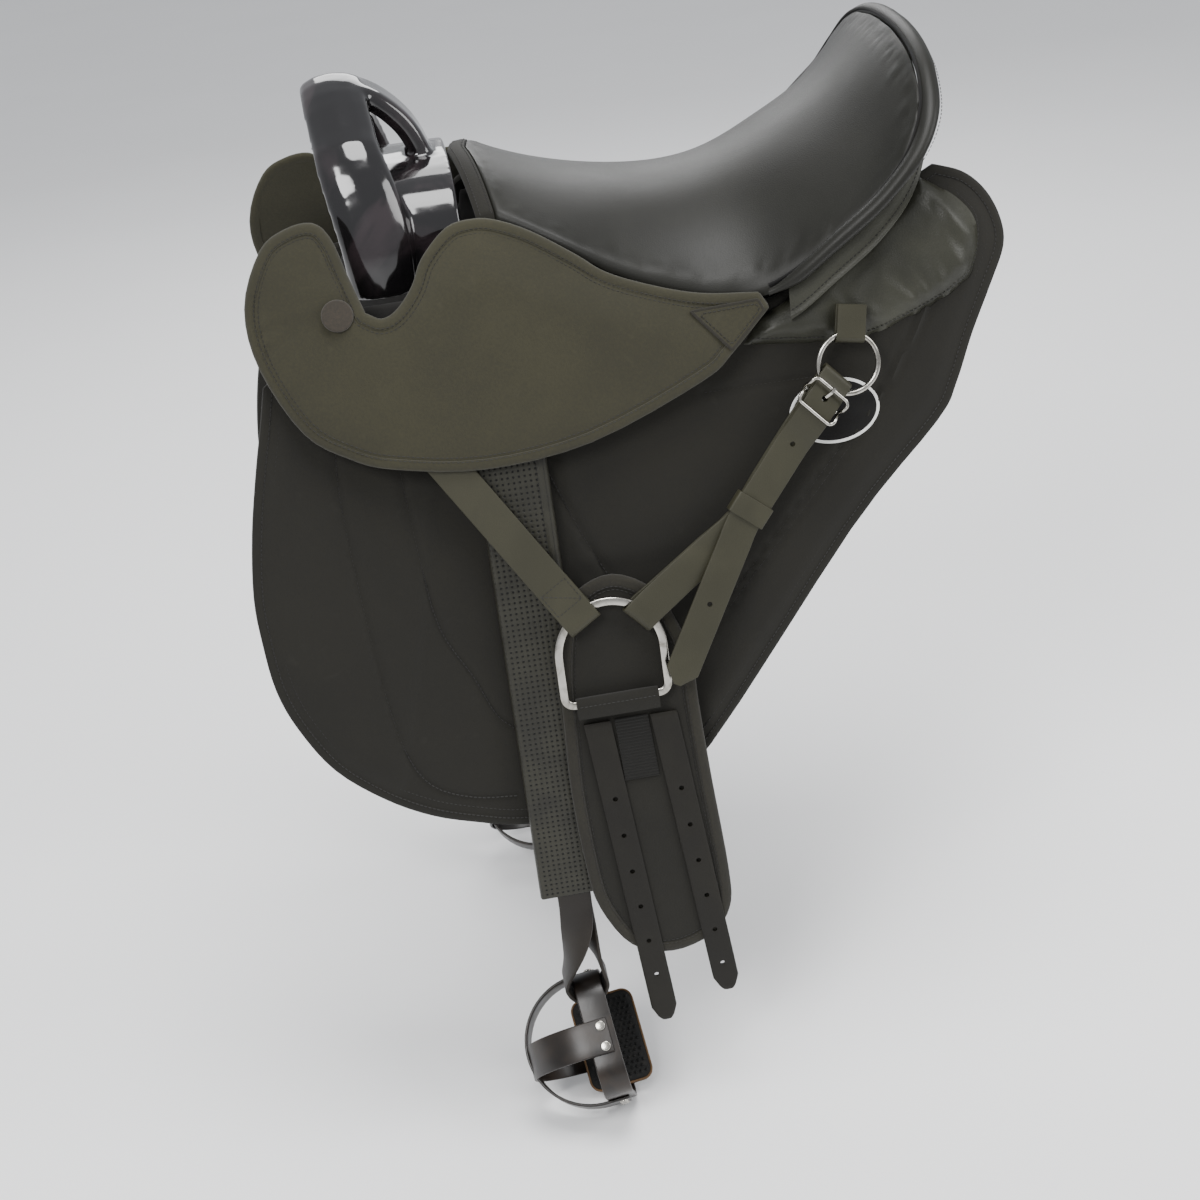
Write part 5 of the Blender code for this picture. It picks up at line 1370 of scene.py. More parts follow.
def bar_place():
    """The middle of the dee's bar, with the directions out of the side and down it."""
    low = DEE_Z - DEE_DROP
    normal = side_normal(low)
    return on_side(DEE_X, low, DEE_LIFT), normal, np.array([0, normal[2], -normal[1]])


def bar_fold(name, side):
    """The fold of padding that holds the dee's bar."""
    middle, normal, down = bar_place()
    flat = [(0.0054 + 0.0006 * sin(k * 260), k) for k in np.linspace(0.0125, 0.002, 7)]
    flat += [(0.0052 * sin(a), -0.0052 * cos(a)) for a in np.radians(np.linspace(90, -90, 15))]
    flat += [(-0.0041, k) for k in (0.004, 0.008, 0.012)]
    loop = np.array([middle + normal * n + down * k for n, k in flat])
    out = np.cross(tangents(loop, False), (1.0, 0, 0))
    rows = []
    for u in np.linspace(-1, 1, 25):
        shift = np.array([u * (DEE_RADIUS - DEE_CORNER - 0.001), 0, 0])
        swell = 0.0011 * (1 - 0.35 * abs(u) ** 6)
        rows.append(np.vstack([loop + out * swell, (loop - out * swell)[::-1]]) + shift)
    return piece(name, *rows_to_mesh(rows), LOOKS["under"], side, 60)


# Ring rigging


def strap_frame(start, end):
    """Where a straight strap starts, with its directions along, across and out."""
    along = unit(end - start)
    outward = side_normal(((start + end) / 2)[2])
    outward = unit(outward - along * outward.dot(along))
    return start, along, np.cross(along, outward), outward


def wrap(at, radius, first, last, steps):
    """Points round a bar, with angles from straight out."""
    angles = np.radians(np.linspace(first, last, steps + 1))
    return [(at[0] + radius * sin(a), at[1] + radius * cos(a)) for a in angles]


def bend(s, stations):
    """A value at s along the strap, from the stations' values."""
    return float(np.interp(s, [a for a, _ in stations], [b for _, b in stations]))


def rear_frame():
    start = on_side(-0.030, -0.291, DEE_LIFT)
    toward = np.array([RING_X, half_width(RING_Z), RING_Z]) - start
    angle = atan2(toward[2], toward[0])
    back = RING_RADIUS - 0.0094
    end = on_side(RING_X - back * cos(angle), RING_Z - back * sin(angle), RING_LIFT)
    return strap_frame(start, end), float(np.linalg.norm(end - start))


def rear_strap_points(reach):
    """The strap's way: from the buckle down, round the dee, up, round the ring and down again.

    Each point is its place along the straight line to the ring, its lift and its place across.
    """
    turns = [(BEND_S, BEND_V), (BUCKLE_S, BUCKLE_V), (reach, 0.0)]
    lower_v = [(0.0, 0.0), (0.06, -0.0095), *turns]
    upper_v = [(-0.034, -0.0675), (0.05, -0.0400), *turns]
    lower_n = [(0.0, REAR_WRAP), (0.05, -0.0004), (BEND_S, -0.0012), (0.200, -0.0010)]
    lower_n += [(0.234, BUCKLE_N + BUCKLE_TURN)]
    upper_n = [(-0.034, 0.0064), (0.05, 0.0048), (BEND_S, 0.0020), (0.200, 0.0022)]
    upper_n += [(0.232, TOP_PLY_N), (0.251, TOP_PLY_N), (reach - 0.004, TAB_WRAP + 0.0006)]
    shared = (0.20, 0.165, 0.14, BEND_S, 0.095, 0.07, 0.045)
    made = wrap((BUCKLE_S, BUCKLE_N), BUCKLE_TURN, 205, 0, 6)
    made += [(s, bend(s, lower_n)) for s in (0.233, 0.217, *shared, 0.022, 0.006)]
    made += wrap((-0.0058, 0.0), REAR_WRAP, 0, -180, 6)
    made += [(0.004, -REAR_WRAP), (0.014, -0.0033), (0.05, -0.0035), (0.08, -0.0041)]
    made += [(s, -0.0042) for s in (BEND_S, 0.16, 0.21, reach - 0.006)]
    lower = [(s, n, bend(s, lower_v)) for s, n in made]
    turn = [(s, n, 0.0) for s, n in wrap((reach, 0.0), TAB_WRAP, 180, 0, 6)]
    down = [reach - 0.006, 0.251, 0.24, 0.230, 0.216, *shared, 0.02, -0.005, -0.034]
    return lower + turn + [(s, bend(s, upper_n), bend(s, upper_v)) for s in down]


def strap_piece(name, frame_of, points, wide, side, tip=0):
    """A strap along (s, n, v) points, its last stretch narrowed if it has a tip."""
    origin, along, across, outward = frame_of
    path = smooth_run([origin + along * s + outward * n + across * v for s, n, v in points], 3)
    section = rounded(wide, STRAP_THICK, 0.0009, 3, 2)
    length = run_length(path)
    if tip:
        extra = [length[-1] - tip * k for k in (1.0, 0.66, 0.33, 0.1)]
        at = np.sort(np.concatenate([length, extra]))
        path, length = points_at(at, length, path), at
    rows = []
    for centre, way, done in zip(path, tangents(path, False), length):
        side_way = unit(across - way * across.dot(way))
        high = np.cross(way, side_way)
        left = length[-1] - done
        narrow = 1.0 if not tip or left >= tip else 0.22 + 0.78 * (left / tip)
        rows.append([centre + side_way * u * narrow + high * v for u, v in section])
    return piece(name, *rows_to_mesh(rows), LOOKS["strap"], side, 50)


def dee_path():
    """The dee's middle line: a half round, two straight legs and a bar."""
    r, c = DEE_RADIUS, DEE_CORNER
    low = DEE_Z - DEE_DROP
    legs = (0.25, 0.5, 0.7)
    flat = arc((DEE_X, DEE_Z), r, 0, 180, 44)
    flat += [(DEE_X - r, DEE_Z - DEE_DROP * k) for k in legs]
    flat += arc((DEE_X - r + c, low + c), c, 180, 270, 8)
    flat += [(DEE_X + k * 0.0065, low) for k in range(-5, 6)]
    flat += arc((DEE_X + r - c, low + c), c, 270, 360, 8)
    flat += [(DEE_X + r, DEE_Z - DEE_DROP * k) for k in reversed(legs)]
    return np.array(flat)


def buckle_points(frame_of):
    """The buckle frame's middle line, bowed out at both ends."""
    half_s, half_v, corner = BUCKLE_LONG / 2, BUCKLE_WIDE / 2, 0.005
    out_n = TOP_PLY_N + STRAP_THICK / 2 + GAP + BUCKLE_WIRE
    flat = []
    for cx, cy, start in CORNERS:
        middle = (cx * (half_s - corner), cy * (half_v - corner))
        flat += arc(middle, corner, start, start + 90, 8)
        if start in (0, 180):
            flat += [(cx * k * half_s / 8, cy * half_v) for k in range(3, -4, -1)]
    origin, along, across, outward = frame_of
    path = []
    for s, v in flat:
        share = min(abs(s) / (half_s - corner), 1.0)
        n = BUCKLE_N + (out_n - BUCKLE_N) * sin(pi / 2 * share) ** 1.2
        path.append(origin + along * (BUCKLE_S + s) + across * (BUCKLE_V + v) + outward * n)
    return path


def keeper_loop(frame_of):
    """The keeper's way round the three thicknesses, with the direction that it slides in."""
    origin, along, across, outward = frame_of
    lean = (BUCKLE_V - BEND_V) / (BUCKLE_S - BEND_S)
    middle = origin + along * KEEPER_S + across * (BEND_V + lean * (KEEPER_S - BEND_S))
    up_strap = unit(along + across * lean)
    sideways = np.cross(up_strap, outward)
    low = -0.0042 - STRAP_THICK / 2 - GAP - 0.0009
    high = 0.0022 + STRAP_THICK / 2 + GAP + 0.0009
    loop = rounded(REAR_STRAP_WIDE + 0.0038, high - low, 0.0022, 5, 4)
    path = [middle + sideways * v + outward * (n + (high + low) / 2) for v, n in loop]
    return path, up_strap


def round_post(vertices, radius, long, centre, through):
    clear_selection()
    turn = turned_to(through)
    bpy.ops.mesh.primitive_cylinder_add(
        vertices=vertices, radius=radius, depth=long, location=centre, rotation=turn
    )
    return bpy.context.object


def hole_cutter(centre, through, radius, long):
    made = round_post(20, radius, long, centre, through)
    only(made)
    bpy.ops.object.transform_apply(location=True, rotation=True, scale=True)
    return made


def build_rigging():
    frame_of, reach = rear_frame()
    origin, along, across, outward = frame_of
    points = rear_strap_points(reach)
    upper = sorted(points[len(points) // 2 :])
    for name, side in SIDES.items():
        mirror = np.array([1, side, 1])
        strap = f"rear_strap_leather_{name}"
        made = strap_piece(strap, frame_of, points, REAR_STRAP_WIDE, side, 0.013)
        for s in (0.200, 0.042):
            n, v = (np.interp(s, [p[0] for p in upper], [p[k] for p in upper]) for k in (1, 2))
            centre = (origin + along * s + outward * (n + 0.0004) + across * v) * mirror
            boolean(made, hole_cutter(centre, outward * mirror, STRAP_HOLE, 0.0040))
        slot_at = origin + along * (BUCKLE_S + 0.0026) + across * BUCKLE_V + outward * 0.0085
        boolean(made, hole_cutter(slot_at * mirror, outward * mirror, 0.0030, 0.0190))
        ride(made, "saddle", "leather", f"rear_strap_{name}")

        path = buckle_points(frame_of)
        section = oval(0.0032, 0.0032, 12)
        buckle = f"buckle_frame_{name}"
        made = swept(buckle, path, [outward] * len(path), section, LOOKS["nickel"], side, True)
        bar = (origin + along * BUCKLE_S + outward * BUCKLE_N + across * BUCKLE_V) * mirror
        boolean(made, round_post(16, BUCKLE_WIRE * 0.96, 0.039, bar, across * mirror), "UNION")
        ride(made, "saddle", "nickel", f"strap_buckle_{name}")

        path, up_strap = keeper_loop(frame_of)
        middle = np.mean(path, axis=0)
        section = rounded(0.020, 0.0019, 0.0007, 3)
        rows = [[p + up_strap * u + unit(p - middle) * v for u, v in section] for p in path]
        keeper = f"keeper_leather_{name}"
        made = piece(keeper, *rows_to_mesh(rows, closed_rows=True), LOOKS["strap"], side, 50)
        ride(made, f"keeper_{name}", "leather", f"strap_keeper_{name}")

        path = on_layer(dee_path(), DEE_LIFT)
        ways = [np.cross(a, side_normal(p[2])) for a, p in zip(tangents(path, True), path)]
        section = rounded(DEE_WIDE, DEE_THICK, 0.0020, 5)
        made = swept(f"girth_dee_{name}", path, ways, section, LOOKS["nickel"], side, True)
        ride(made, "saddle", "nickel", f"girth_ring_{name}")

        middle = on_side(RING_X, RING_Z, RING_LIFT) * mirror
        turn = turned_to(side_normal(RING_Z) * mirror)
        clear_selection()
        bpy.ops.mesh.primitive_torus_add(
            major_radius=RING_RADIUS, minor_radius=RING_WIRE, major_segments=72, minor_segments=16,
            location=middle, rotation=turn,
        )
        made = settle(bpy.context.object, f"rigging_ring_{name}", LOOKS["nickel"])
        ride(made, "saddle", "nickel", f"rear_ring_{name}")

        turn = radians(RING_TAB_TURN)
        ends = []
        for at in (RING_RADIUS - 0.0042, 0.055):
            ends.append(on_side(RING_X + at * cos(turn), RING_Z + at * sin(turn), RING_LIFT))
        legs = (0.007, 0.014, 0.021, 0.028)
        tab = [(s, TAB_WRAP, 0.0) for s in reversed(legs)]
        tab += [(s, n, 0.0) for s, n in wrap((0.0, 0.0), TAB_WRAP, 0, -180, 10)]
        tab += [(s, -TAB_WRAP, 0.0) for s in legs]
        tab_leather = f"ring_tab_leather_{name}"
        made = strap_piece(tab_leather, strap_frame(*ends), tab, RING_TAB_WIDE, side)
        ride(made, "saddle", "leather", f"ring_tab_{name}")

        start = on_side(-0.0902, -0.2848, DEE_LIFT)
        end = on_side(-0.196, -0.120, 0.0236)
        front_frame = strap_frame(start, end)
        long = float(np.linalg.norm(end - start))
        run = [(s, REAR_WRAP, 0.0) for s in (long, long * 0.75, long * 0.5, long * 0.25, 0.006)]
        run += [(s, n, 0.0) for s, n in wrap((-0.0078, 0.0), REAR_WRAP, 0, -180, 8)]
        run += [(0.005, -REAR_WRAP, 0.0), (0.014, -0.0008, 0.0), (0.036, 0.0012, 0.0)]
        front_strap = f"front_strap_leather_{name}"
        made = strap_piece(front_strap, front_frame, run, FRONT_STRAP_WIDE, side)
        ride(made, "saddle", "leather", f"front_strap_{name}")
        o, a, c, n = front_frame
        top = REAR_WRAP + STRAP_THICK / 2
        cross = [(0.010, -0.0135), (0.034, 0.0135)]
        (low, near), (high, far) = cross
        box = [(low, near), (high, near), (high, far), (low, far), (low, near)]
        runs = []
        for line in (box, cross):
            runs.append(([o + a * s + c * v + n * top for s, v in spaced(line, 0.002)], n))
        sew(f"front_strap_stitching_{name}", runs, side, "saddle", "leather")


# Stirrup leather and stirrup


def sleeve_lift(z):
    """How far out the sleeve's middle lies at a height."""
    rise = (z - SLEEVE_RISE_Z) / (SLEEVE_TOP_Z - SLEEVE_RISE_Z)
    return SLEEVE_LIFT + SLEEVE_TOP_RISE * np.clip(rise, 0.0, 1.0)


def leather_line():
    """The leather's middle line, with its directions across: over the bar and round the arch."""
    bar = on_side(LEATHER_X, BAR_Z, BAR_LIFT)
    radius = BAR_RADIUS + GAP + LEATHER_THICK / 2
    level = np.array([1.0, 0, 0])
    made = []
    for angle in np.radians(np.linspace(-90, 90, 9)):
        made.append((bar + radius * np.array([0, sin(angle), cos(angle)]), level))
    hug_z = bar[2] - 0.0135
    heights = [hug_z, -0.078, SLEEVE_TOP_Z, -0.14, -0.20, -0.26, SLEEVE_RISE_Z]
    heights += [-0.38, -0.44, -0.50, -0.54, SLEEVE_FOOT_Z]
    foot = on_side(LEATHER_X, SLEEVE_FOOT_Z, SLEEVE_LIFT)
    sides = {}
    for sign in (-1, 1):
        run = []
        for z in heights:
            lift = sleeve_lift(z) + sign * LEATHER_PITCH / 2
            if z > SLEEVE_TOP_Z:
                near = (BAR_Z - z) / (BAR_Z - SLEEVE_TOP_Z)
                away = BAR_LIFT - sleeve_lift(z) + sign * (radius - LEATHER_PITCH / 2)
                lift += away * (1 - near**2)
            point = on_side(LEATHER_X, z, lift)
            if z == hug_z:
                point = np.array([LEATHER_X, bar[1] + sign * radius, z])
            run.append((point, level))
        for k in range(1, 8):
            share = k / 7
            z = SLEEVE_FOOT_Z + (LOOP_Z - SLEEVE_FOOT_Z) * share
            angle = pi / 2 * (3 * share**2 - 2 * share**3)
            half = LEATHER_PITCH / 2 + (LOOP_SPREAD - LEATHER_PITCH / 2) * share**1.5
            apart = np.array([-sin(angle), cos(angle), 0]) * half * sign
            level_way = np.array([cos(angle), sin(angle), 0])
            run.append((np.array([LEATHER_X, foot[1], z]) + apart, level_way))
        sides[sign] = run
    bottom = []
    for x, z in arc((LEATHER_X, LOOP_Z), LOOP_SPREAD, 0, -180, 10)[1:-1]:
        bottom.append((np.array([x, foot[1], z]), np.array([0, 1.0, 0])))
    return made + sides[1] + bottom[::-1] + sides[-1][::-1]


# Places round the sleeve's edge, as shares of its half width and half thickness
SLEEVE_EDGE = [(0.97, 0.8), (1, 0.35), (1, -0.35), (0.97, -0.8)]


def sleeve_rings():
    """Rings of the sleeve outside then inside, with its pattern's coordinates."""
    inner_half = LEATHER_PITCH / 2 + LEATHER_THICK / 2 + GAP
    outer_half = inner_half + SLEEVE_WALL
    heights = np.arange(SLEEVE_TOP_Z, SLEEVE_FOOT_Z + 0.0041, -SLEEVE_GRID / 4)
    half = SLEEVE_WIDE / 2
    across = np.arange(-half * 0.93, half * 0.93 + 1e-6, SLEEVE_GRID / 4)
    dotted = np.cos(across / SLEEVE_GRID * 2 * pi) * 0.5 + 0.5
    strip = ease((across - 0.0226) / 0.0008)
    step = 0.0007 * strip * (1 - ease((across - 0.0290) / 0.001))
    rows = []
    uv = []
    for z in heights:
        edge_in = ease(min(SLEEVE_TOP_Z - z, z - (SLEEVE_FOOT_Z + 0.004)) / 0.0035)
        mid = sleeve_lift(z)
        dots = dotted * (0.5 + 0.5 * cos(z / SLEEVE_GRID * 2 * pi))
        lift = mid + outer_half - 0.0007 * dots**1.5 * (1 - strip) * edge_in
        front = list(zip(across, lift + step - 0.0006 * (1 - edge_in)))
        edge = [(half * a, mid + outer_half * b) for a, b in SLEEVE_EDGE]
        back = [(u, mid - outer_half) for u in (half * 0.9, 0, -half * 0.9)]
        ring = front + edge + back + [(-u, a) for u, a in reversed(edge)]
        rows.append([on_side(LEATHER_X + u, z, a) for u, a in ring])
        uv.append([(u, z) for u, _ in front] + [(0.05, z)] * (len(ring) - len(front)))
    count = len(rows[0])
    turns = 2 * pi * np.arange(count) / count
    wide = (half - SLEEVE_WALL) * np.clip(1.3 * np.cos(turns), -1, 1)
    high = inner_half * np.clip(1.6 * np.sin(turns), -1, 1)
    for z in heights[::-12].tolist() + ([heights[0]] if (len(heights) - 1) % 12 else []):
        rows.append(list(on_side(LEATHER_X - wide, z, sleeve_lift(z) + high)))
        uv.append([(0.05, z)] * count)
    return np.array(rows), np.array(uv).reshape(-1, 2)


def stirrup_place():
    """The stirrup's directions across, up and to its toe, and its middle."""
    roll = radians(STIRRUP_ROLL)
    across = np.array([0, sin(roll), -cos(roll)])
    up = np.array([0, cos(roll), sin(roll)])
    foot = on_side(LEATHER_X, SLEEVE_FOOT_Z, SLEEVE_LIFT)
    axis = np.array([LEATHER_X, foot[1], LOOP_Z])
    inner = LOOP_SPREAD - LEATHER_THICK / 2
    rest = (inner**2 - (ARM_WIDE / 2) ** 2) ** 0.5
    sag = ARM_CORNER - (ARM_CORNER**2 - (LEATHER_WIDE / 2) ** 2) ** 0.5
    corner_top = axis[2] - rest + 0.0006 + sag
    drop = ARM_CORNER + 2**0.5 * (STIRRUP_INNER / 2 - ARM_CORNER)
    centre = np.array([axis[0], axis[1], corner_top - drop])
    pitch = radians(STIRRUP_PITCH)
    turn = np.array([[cos(pitch), 0, sin(pitch)], [0, 1, 0], [-sin(pitch), 0, cos(pitch)]])
    toe = np.array([-1.0, 0, 0])
    return [turn @ way for way in (across, up, toe)] + [axis + turn @ (centre - axis)]


def stirrup_point(a, h, t):
    """A point across, above the stirrup's floor and towards its toe."""
    across, up, toe, centre = stirrup_place()
    return centre + across * a + up * (h - STIRRUP_INNER / 2) + toe * t


def cage_line(shorter=0.0):
    """The middle line of a band round the cage, from one side of the stirrup to the other."""
    half = STIRRUP_INNER / 2 + ARM_THICK + GAP + CAGE_THICK / 2
    leg = [(half, -0.008), (half, -0.002), (half, 0.004)]
    bow = arc((0, CAGE_REACH - half - shorter), half, 0, 180, 36)
    return leg + bow + [(-a, t) for a, t in reversed(leg)]


def build_leathers():
    line = leather_line()
    path = smooth_loop([p for p, _ in line], 4)
    ways = smooth_loop([w for _, w in line], 4)
    section = rounded(LEATHER_WIDE, LEATHER_THICK, 0.0011, 3, 2)
    rings, uv = sleeve_rings()
    points, faces = rows_to_mesh(rings, closed_rows=True)
    heights = np.linspace(SLEEVE_TOP_Z - 0.004, SLEEVE_FOOT_Z + 0.008, 90)
    runs = []
    for u, rise in ((0.0212, 0.0064), (0.0276, 0.0070)):
        line = np.column_stack([np.full(len(heights), LEATHER_X + u), heights])
        runs.append((on_layer(line, sleeve_lift(heights) + rise), side_normals(line)))
    for name, side in SIDES.items():
        body = f"hanging_leather_{name}"
        strap = f"stirrup_strap_{name}"
        made = swept(strap, path, ways, section, LOOKS["hanging"], side, True, 50)
        ride(made, body, "leather", f"stirrup_leather_{name}")
        made = piece(f"sleeve_cover_{name}", points, faces, LOOKS["sleeve"], side, 50, uv)
        ride(made, body, "leather", f"leather_sleeve_{name}")
        sew(f"sleeve_stitching_{name}", runs, side, body, "leather")


def rivet(name, centre, normal, radius, high, side):
    """A domed rivet head: a short post whose face is inset and whose rim is rounded."""
    mirror = np.array([1, side, 1])
    normal = unit(normal)
    at = (np.array(centre) + normal * (high / 2 - 0.0008)) * mirror
    made = round_post(24, radius, high + 0.0016, at, normal * mirror)
    dish(made, radius * 0.55, high * 0.35, radius * 0.22, 3)
    return settle(made, name, LOOKS["nickel"], 40)


# Rings of a stud from its foot up, as shares of its radius and height
STUD = [(0.95, 0.0), (0.75, 0.6), (0.35, 1.0)]


def tread_studs(name, side):
    """Rows of small raised studs over the tread, all in one mesh."""
    across, up, toe, centre = stirrup_place()
    points = []
    faces = []
    for i, a in enumerate(np.arange(-0.0385, 0.0390, STUD_PITCH)):
        for t in np.arange(-0.0300, 0.0230, STUD_PITCH) + STUD_PITCH / 2 * (i % 2):
            first = len(points)
            middle = stirrup_point(a, TREAD_TOP - 0.0002, t)
            for size, high in STUD:
                for u, v in arc((0, 0), STUD_RADIUS * size, 0, 315, 7):
                    points.append(middle + across * u + toe * v + up * high * STUD_HIGH)
            for ring in range(2):
                for k in range(8):
                    b = first + 8 * ring
                    faces.append((b + k, b + (k + 1) % 8, b + 8 + (k + 1) % 8, b + 8 + k))
            faces.append(tuple(first + 16 + k for k in range(8)))
            faces.append(tuple(first + 7 - k for k in range(8)))
    return piece(name, points, faces, LOOKS["rubber"], side, 30)


def tread_ring(inward, h):
    """The tread's outline at a height, drawn in by a distance."""
    half = STIRRUP_INNER / 2 - 0.0125 - TREAD_CORNER
    ends = {1: TREAD_DEEP * 0.44 - TREAD_CORNER, -1: TREAD_CORNER - TREAD_DEEP * 0.56}
    ring = []
    for cx, cy, start in CORNERS:
        ring += arc((cx * half, ends[cy]), TREAD_CORNER - inward, start, start + 90, 8)
    return [stirrup_point(a, h, t) for a, t in ring]


def build_stirrups():
    across, up, toe, centre = stirrup_place()
    half = STIRRUP_INNER / 2
    corner = ARM_CORNER + ARM_THICK / 2
    flat = []
    for cx, cy, start in CORNERS:
        at = half - ARM_CORNER
        flat += arc((cx * at, cy * at), corner, start, start + 90, 14)
    path = [stirrup_point(a, h + half, 0) for a, h in spaced(flat, 0.004, closed=True)]
    levels = [(0.0016, TREAD_LOW), (0.0004, TREAD_LOW + 0.0008), (0.0, TREAD_LOW + 0.0020)]
    levels += [(0.0, TREAD_TOP - 0.0025), (0.0005, TREAD_TOP - 0.0009), (0.0020, TREAD_TOP)]
    rings = [tread_ring(inward, h) for inward, h in levels]
    rim = tread_ring(-0.0008, TREAD_LOW + TREAD_THICK * 0.55)
    bow = [stirrup_point(a, CAGE_AT, t) for a, t in cage_line()]
    over = [stirrup_point(CAGE_BAND_AT, half + h, t) for h, t in cage_line(0.0008)]
    arm = rounded(ARM_WIDE, ARM_THICK, 0.0014, 4)
    edge = rounded(TREAD_THICK * 0.8, 0.0020, 0.0008, 3)
    side_band = rounded(CAGE_STRAP_WIDE, CAGE_THICK, 0.0011, 3, 3)
    over_band = rounded(CAGE_BAND_WIDE, CAGE_THICK, 0.0011, 3, 3)
    for name, side in SIDES.items():
        body = f"stirrup_{name}"

        def band(part, line, wide, section, look, *replaced, closed=False):
            ways = [wide] * len(line)
            made = swept(f"{part}_{name}", line, ways, section, LOOKS[look], side, closed)
            ride(made, body, "moulded_plastic", *replaced)

        band("stirrup_hoop", path, toe, arm, "cage", f"stirrup_frame_{name}", closed=True)
        made = piece(f"tread_plate_{name}", *rows_to_mesh(rings), LOOKS["rubber"], side)
        ride(made, body, "moulded_plastic", f"stirrup_tread_{name}")
        band("tread_rim", rim, up, edge, "cut", closed=True)
        made = tread_studs(f"tread_studs_{name}", side)
        ride(made, body, "moulded_plastic")
        band("cage_side_band", bow, up, side_band, "cage", f"toe_cage_{name}")
        band("cage_over_band", over, across, over_band, "cage")

        # Rivets at the ends of both bands, and the bolt on the arch
        out = half + ARM_THICK + GAP + CAGE_THICK
        for k, (share, way) in enumerate(((-0.011, 1), (0.012, 1), (-0.011, -1), (0.012, -1))):
            middle = stirrup_point(way * out, CAGE_AT + share, -0.0015)
            rivet_name = f"cage_rivet_{k + 1}_{name}"
            made = rivet(rivet_name, middle, across * way, 0.0036, 0.0016, side)
            ride(made, body, "nickel")
        for k, (a, way) in enumerate(((-0.004, 1), (0.016, 1), (0.006, -1))):
            middle = stirrup_point(a, half + way * (out + 0.0002), -0.0015)
            made = rivet(f"cage_bolt_{k + 1}_{name}", middle, up * way, 0.0042, 0.0018, side)
            ride(made, body, "nickel")


def build_carried():
    """Finishes for the frame's own hard parts that stay in view."""
    for node, look in (("tree", "shell"), ("stirrup_bar", "nickel"), ("buckle_tongue", "nickel")):
        for name in [node] if node == "tree" else [f"{node}_{side}" for side in SIDES]:
            data = frame["nodes"][name].data
            if data.materials:
                data.materials[0] = LOOKS[look]
            else:
                data.materials.append(LOOKS[look])


# Camera, light and floor


def area_light(name, place, size, power):
    bpy.ops.object.light_add(type="AREA", location=place)
    made = bpy.context.object
    made.name = name
    made.data.shape = "DISK"
    made.data.size = size
    made.data.energy = power
    made.rotation_euler = (Vector(LAMP_AIM) - Vector(place)).to_track_quat("-Z", "Y").to_euler()


def build_stage(tones):
    scene = bpy.context.scene
    clear_selection()
    bpy.ops.mesh.primitive_plane_add(size=FLOOR_SIZE, location=(0, 0, FLOOR_Z))
    floor = bpy.context.object
    floor.name = "studio_floor"
    made = Finish("studio floor", roughness=0.85, specular_ior_level=0.2)
    base = made.mix(made.noise(2.0, 3), paint(240, 240, 240), paint(246, 246, 246))
    floor.data.materials.append(made.look(base))
    world = scene.world or bpy.data.worlds.new("studio")
    scene.world = world
    world.use_nodes = True
    background = world.node_tree.nodes["Background"]
    background.inputs["Color"].default_value = (0.94, 0.96, 1.0, 1.0)
    background.inputs["Strength"].default_value = tones.surround
    for name, place, size, power in LAMPS:
        area_light(name, place, size, power * tones.light)

    tilt, swing, roll = radians(VIEW_TILT), radians(VIEW_SWING), radians(VIEW_ROLL)
    back = Vector((sin(swing) * cos(tilt), -cos(swing) * cos(tilt), sin(tilt)))
    eye = Vector(VIEW_AIM) + back * VIEW_DISTANCE
    level = (-back).cross(Vector((0, 0, 1))).normalized()
    rise = level.cross(-back)
    right = level * cos(roll) - rise * sin(roll)
    top = level * sin(roll) + rise * cos(roll)
    bpy.ops.object.camera_add()
    camera = bpy.context.object
    camera.name = "photo_view"
    camera.matrix_world = Matrix((
        (right.x, top.x, back.x, eye.x),
        (right.y, top.y, back.y, eye.y),
        (right.z, top.z, back.z, eye.z),
        (0, 0, 0, 1),
    ))
    camera.data.sensor_width = SENSOR_WIDE
    camera.data.lens = SENSOR_WIDE * LENS_SHARE
    scene.camera = camera


# Add-on


class SaddleLooks(bpy.types.PropertyGroup):
    """Colours of cloth and leather, and how bright the stage is"""

    flap: bpy.props.FloatVectorProperty(
        name="Flap", description="Colour of the upper flap's cloth",
        size=3, default=(0.176, 0.168, 0.112), min=0, max=1, subtype="COLOR_GAMMA",
    )
    under: bpy.props.FloatVectorProperty(
        name="Under flap", description="Colour of the lower flap's cloth",
        size=3, default=(0.094, 0.088, 0.066), min=0, max=1, subtype="COLOR_GAMMA",
    )
    seat: bpy.props.FloatVectorProperty(
        name="Seat", description="Colour of the seat's leather",
        size=3, default=(0.098, 0.097, 0.080), min=0, max=1, subtype="COLOR_GAMMA",
    )
    strap: bpy.props.FloatVectorProperty(
        name="Straps", description="Colour of the rigging straps",
        size=3, default=(0.192, 0.186, 0.133), min=0, max=1, subtype="COLOR_GAMMA",
    )
    light: bpy.props.FloatProperty(
        name="Light", description="Strength of the studio lamps",
        default=1.0, min=0.0, max=4.0, subtype="FACTOR",
    )
    surround: bpy.props.FloatProperty(
        name="Surround", description="Strength of the even light all round",
        default=0.68, min=0.0, max=4.0, subtype="FACTOR",
    )


class SaddleStitching(bpy.types.PropertyGroup):
    """Sizes of the stitches"""

    pitch: bpy.props.FloatProperty(
        name="Pitch", description="Distance from one stitch to the next",
        default=0.0042, min=0.002, max=0.01, unit="LENGTH",
    )
    length: bpy.props.FloatProperty(
        name="Length", description="Length of the thread that shows in each stitch",
        default=0.0031, min=0.001, max=0.009, unit="LENGTH",
    )


class SADDLE_OT_finishes(bpy.types.Operator):
    """Make the finishes of cloth, leather and metal"""

    bl_idname = "saddle.finishes"
    bl_label = "Finishes"

    def execute(self, context):
        build_looks(context.scene.saddle_looks)
        build_carried()
        return {"FINISHED"}


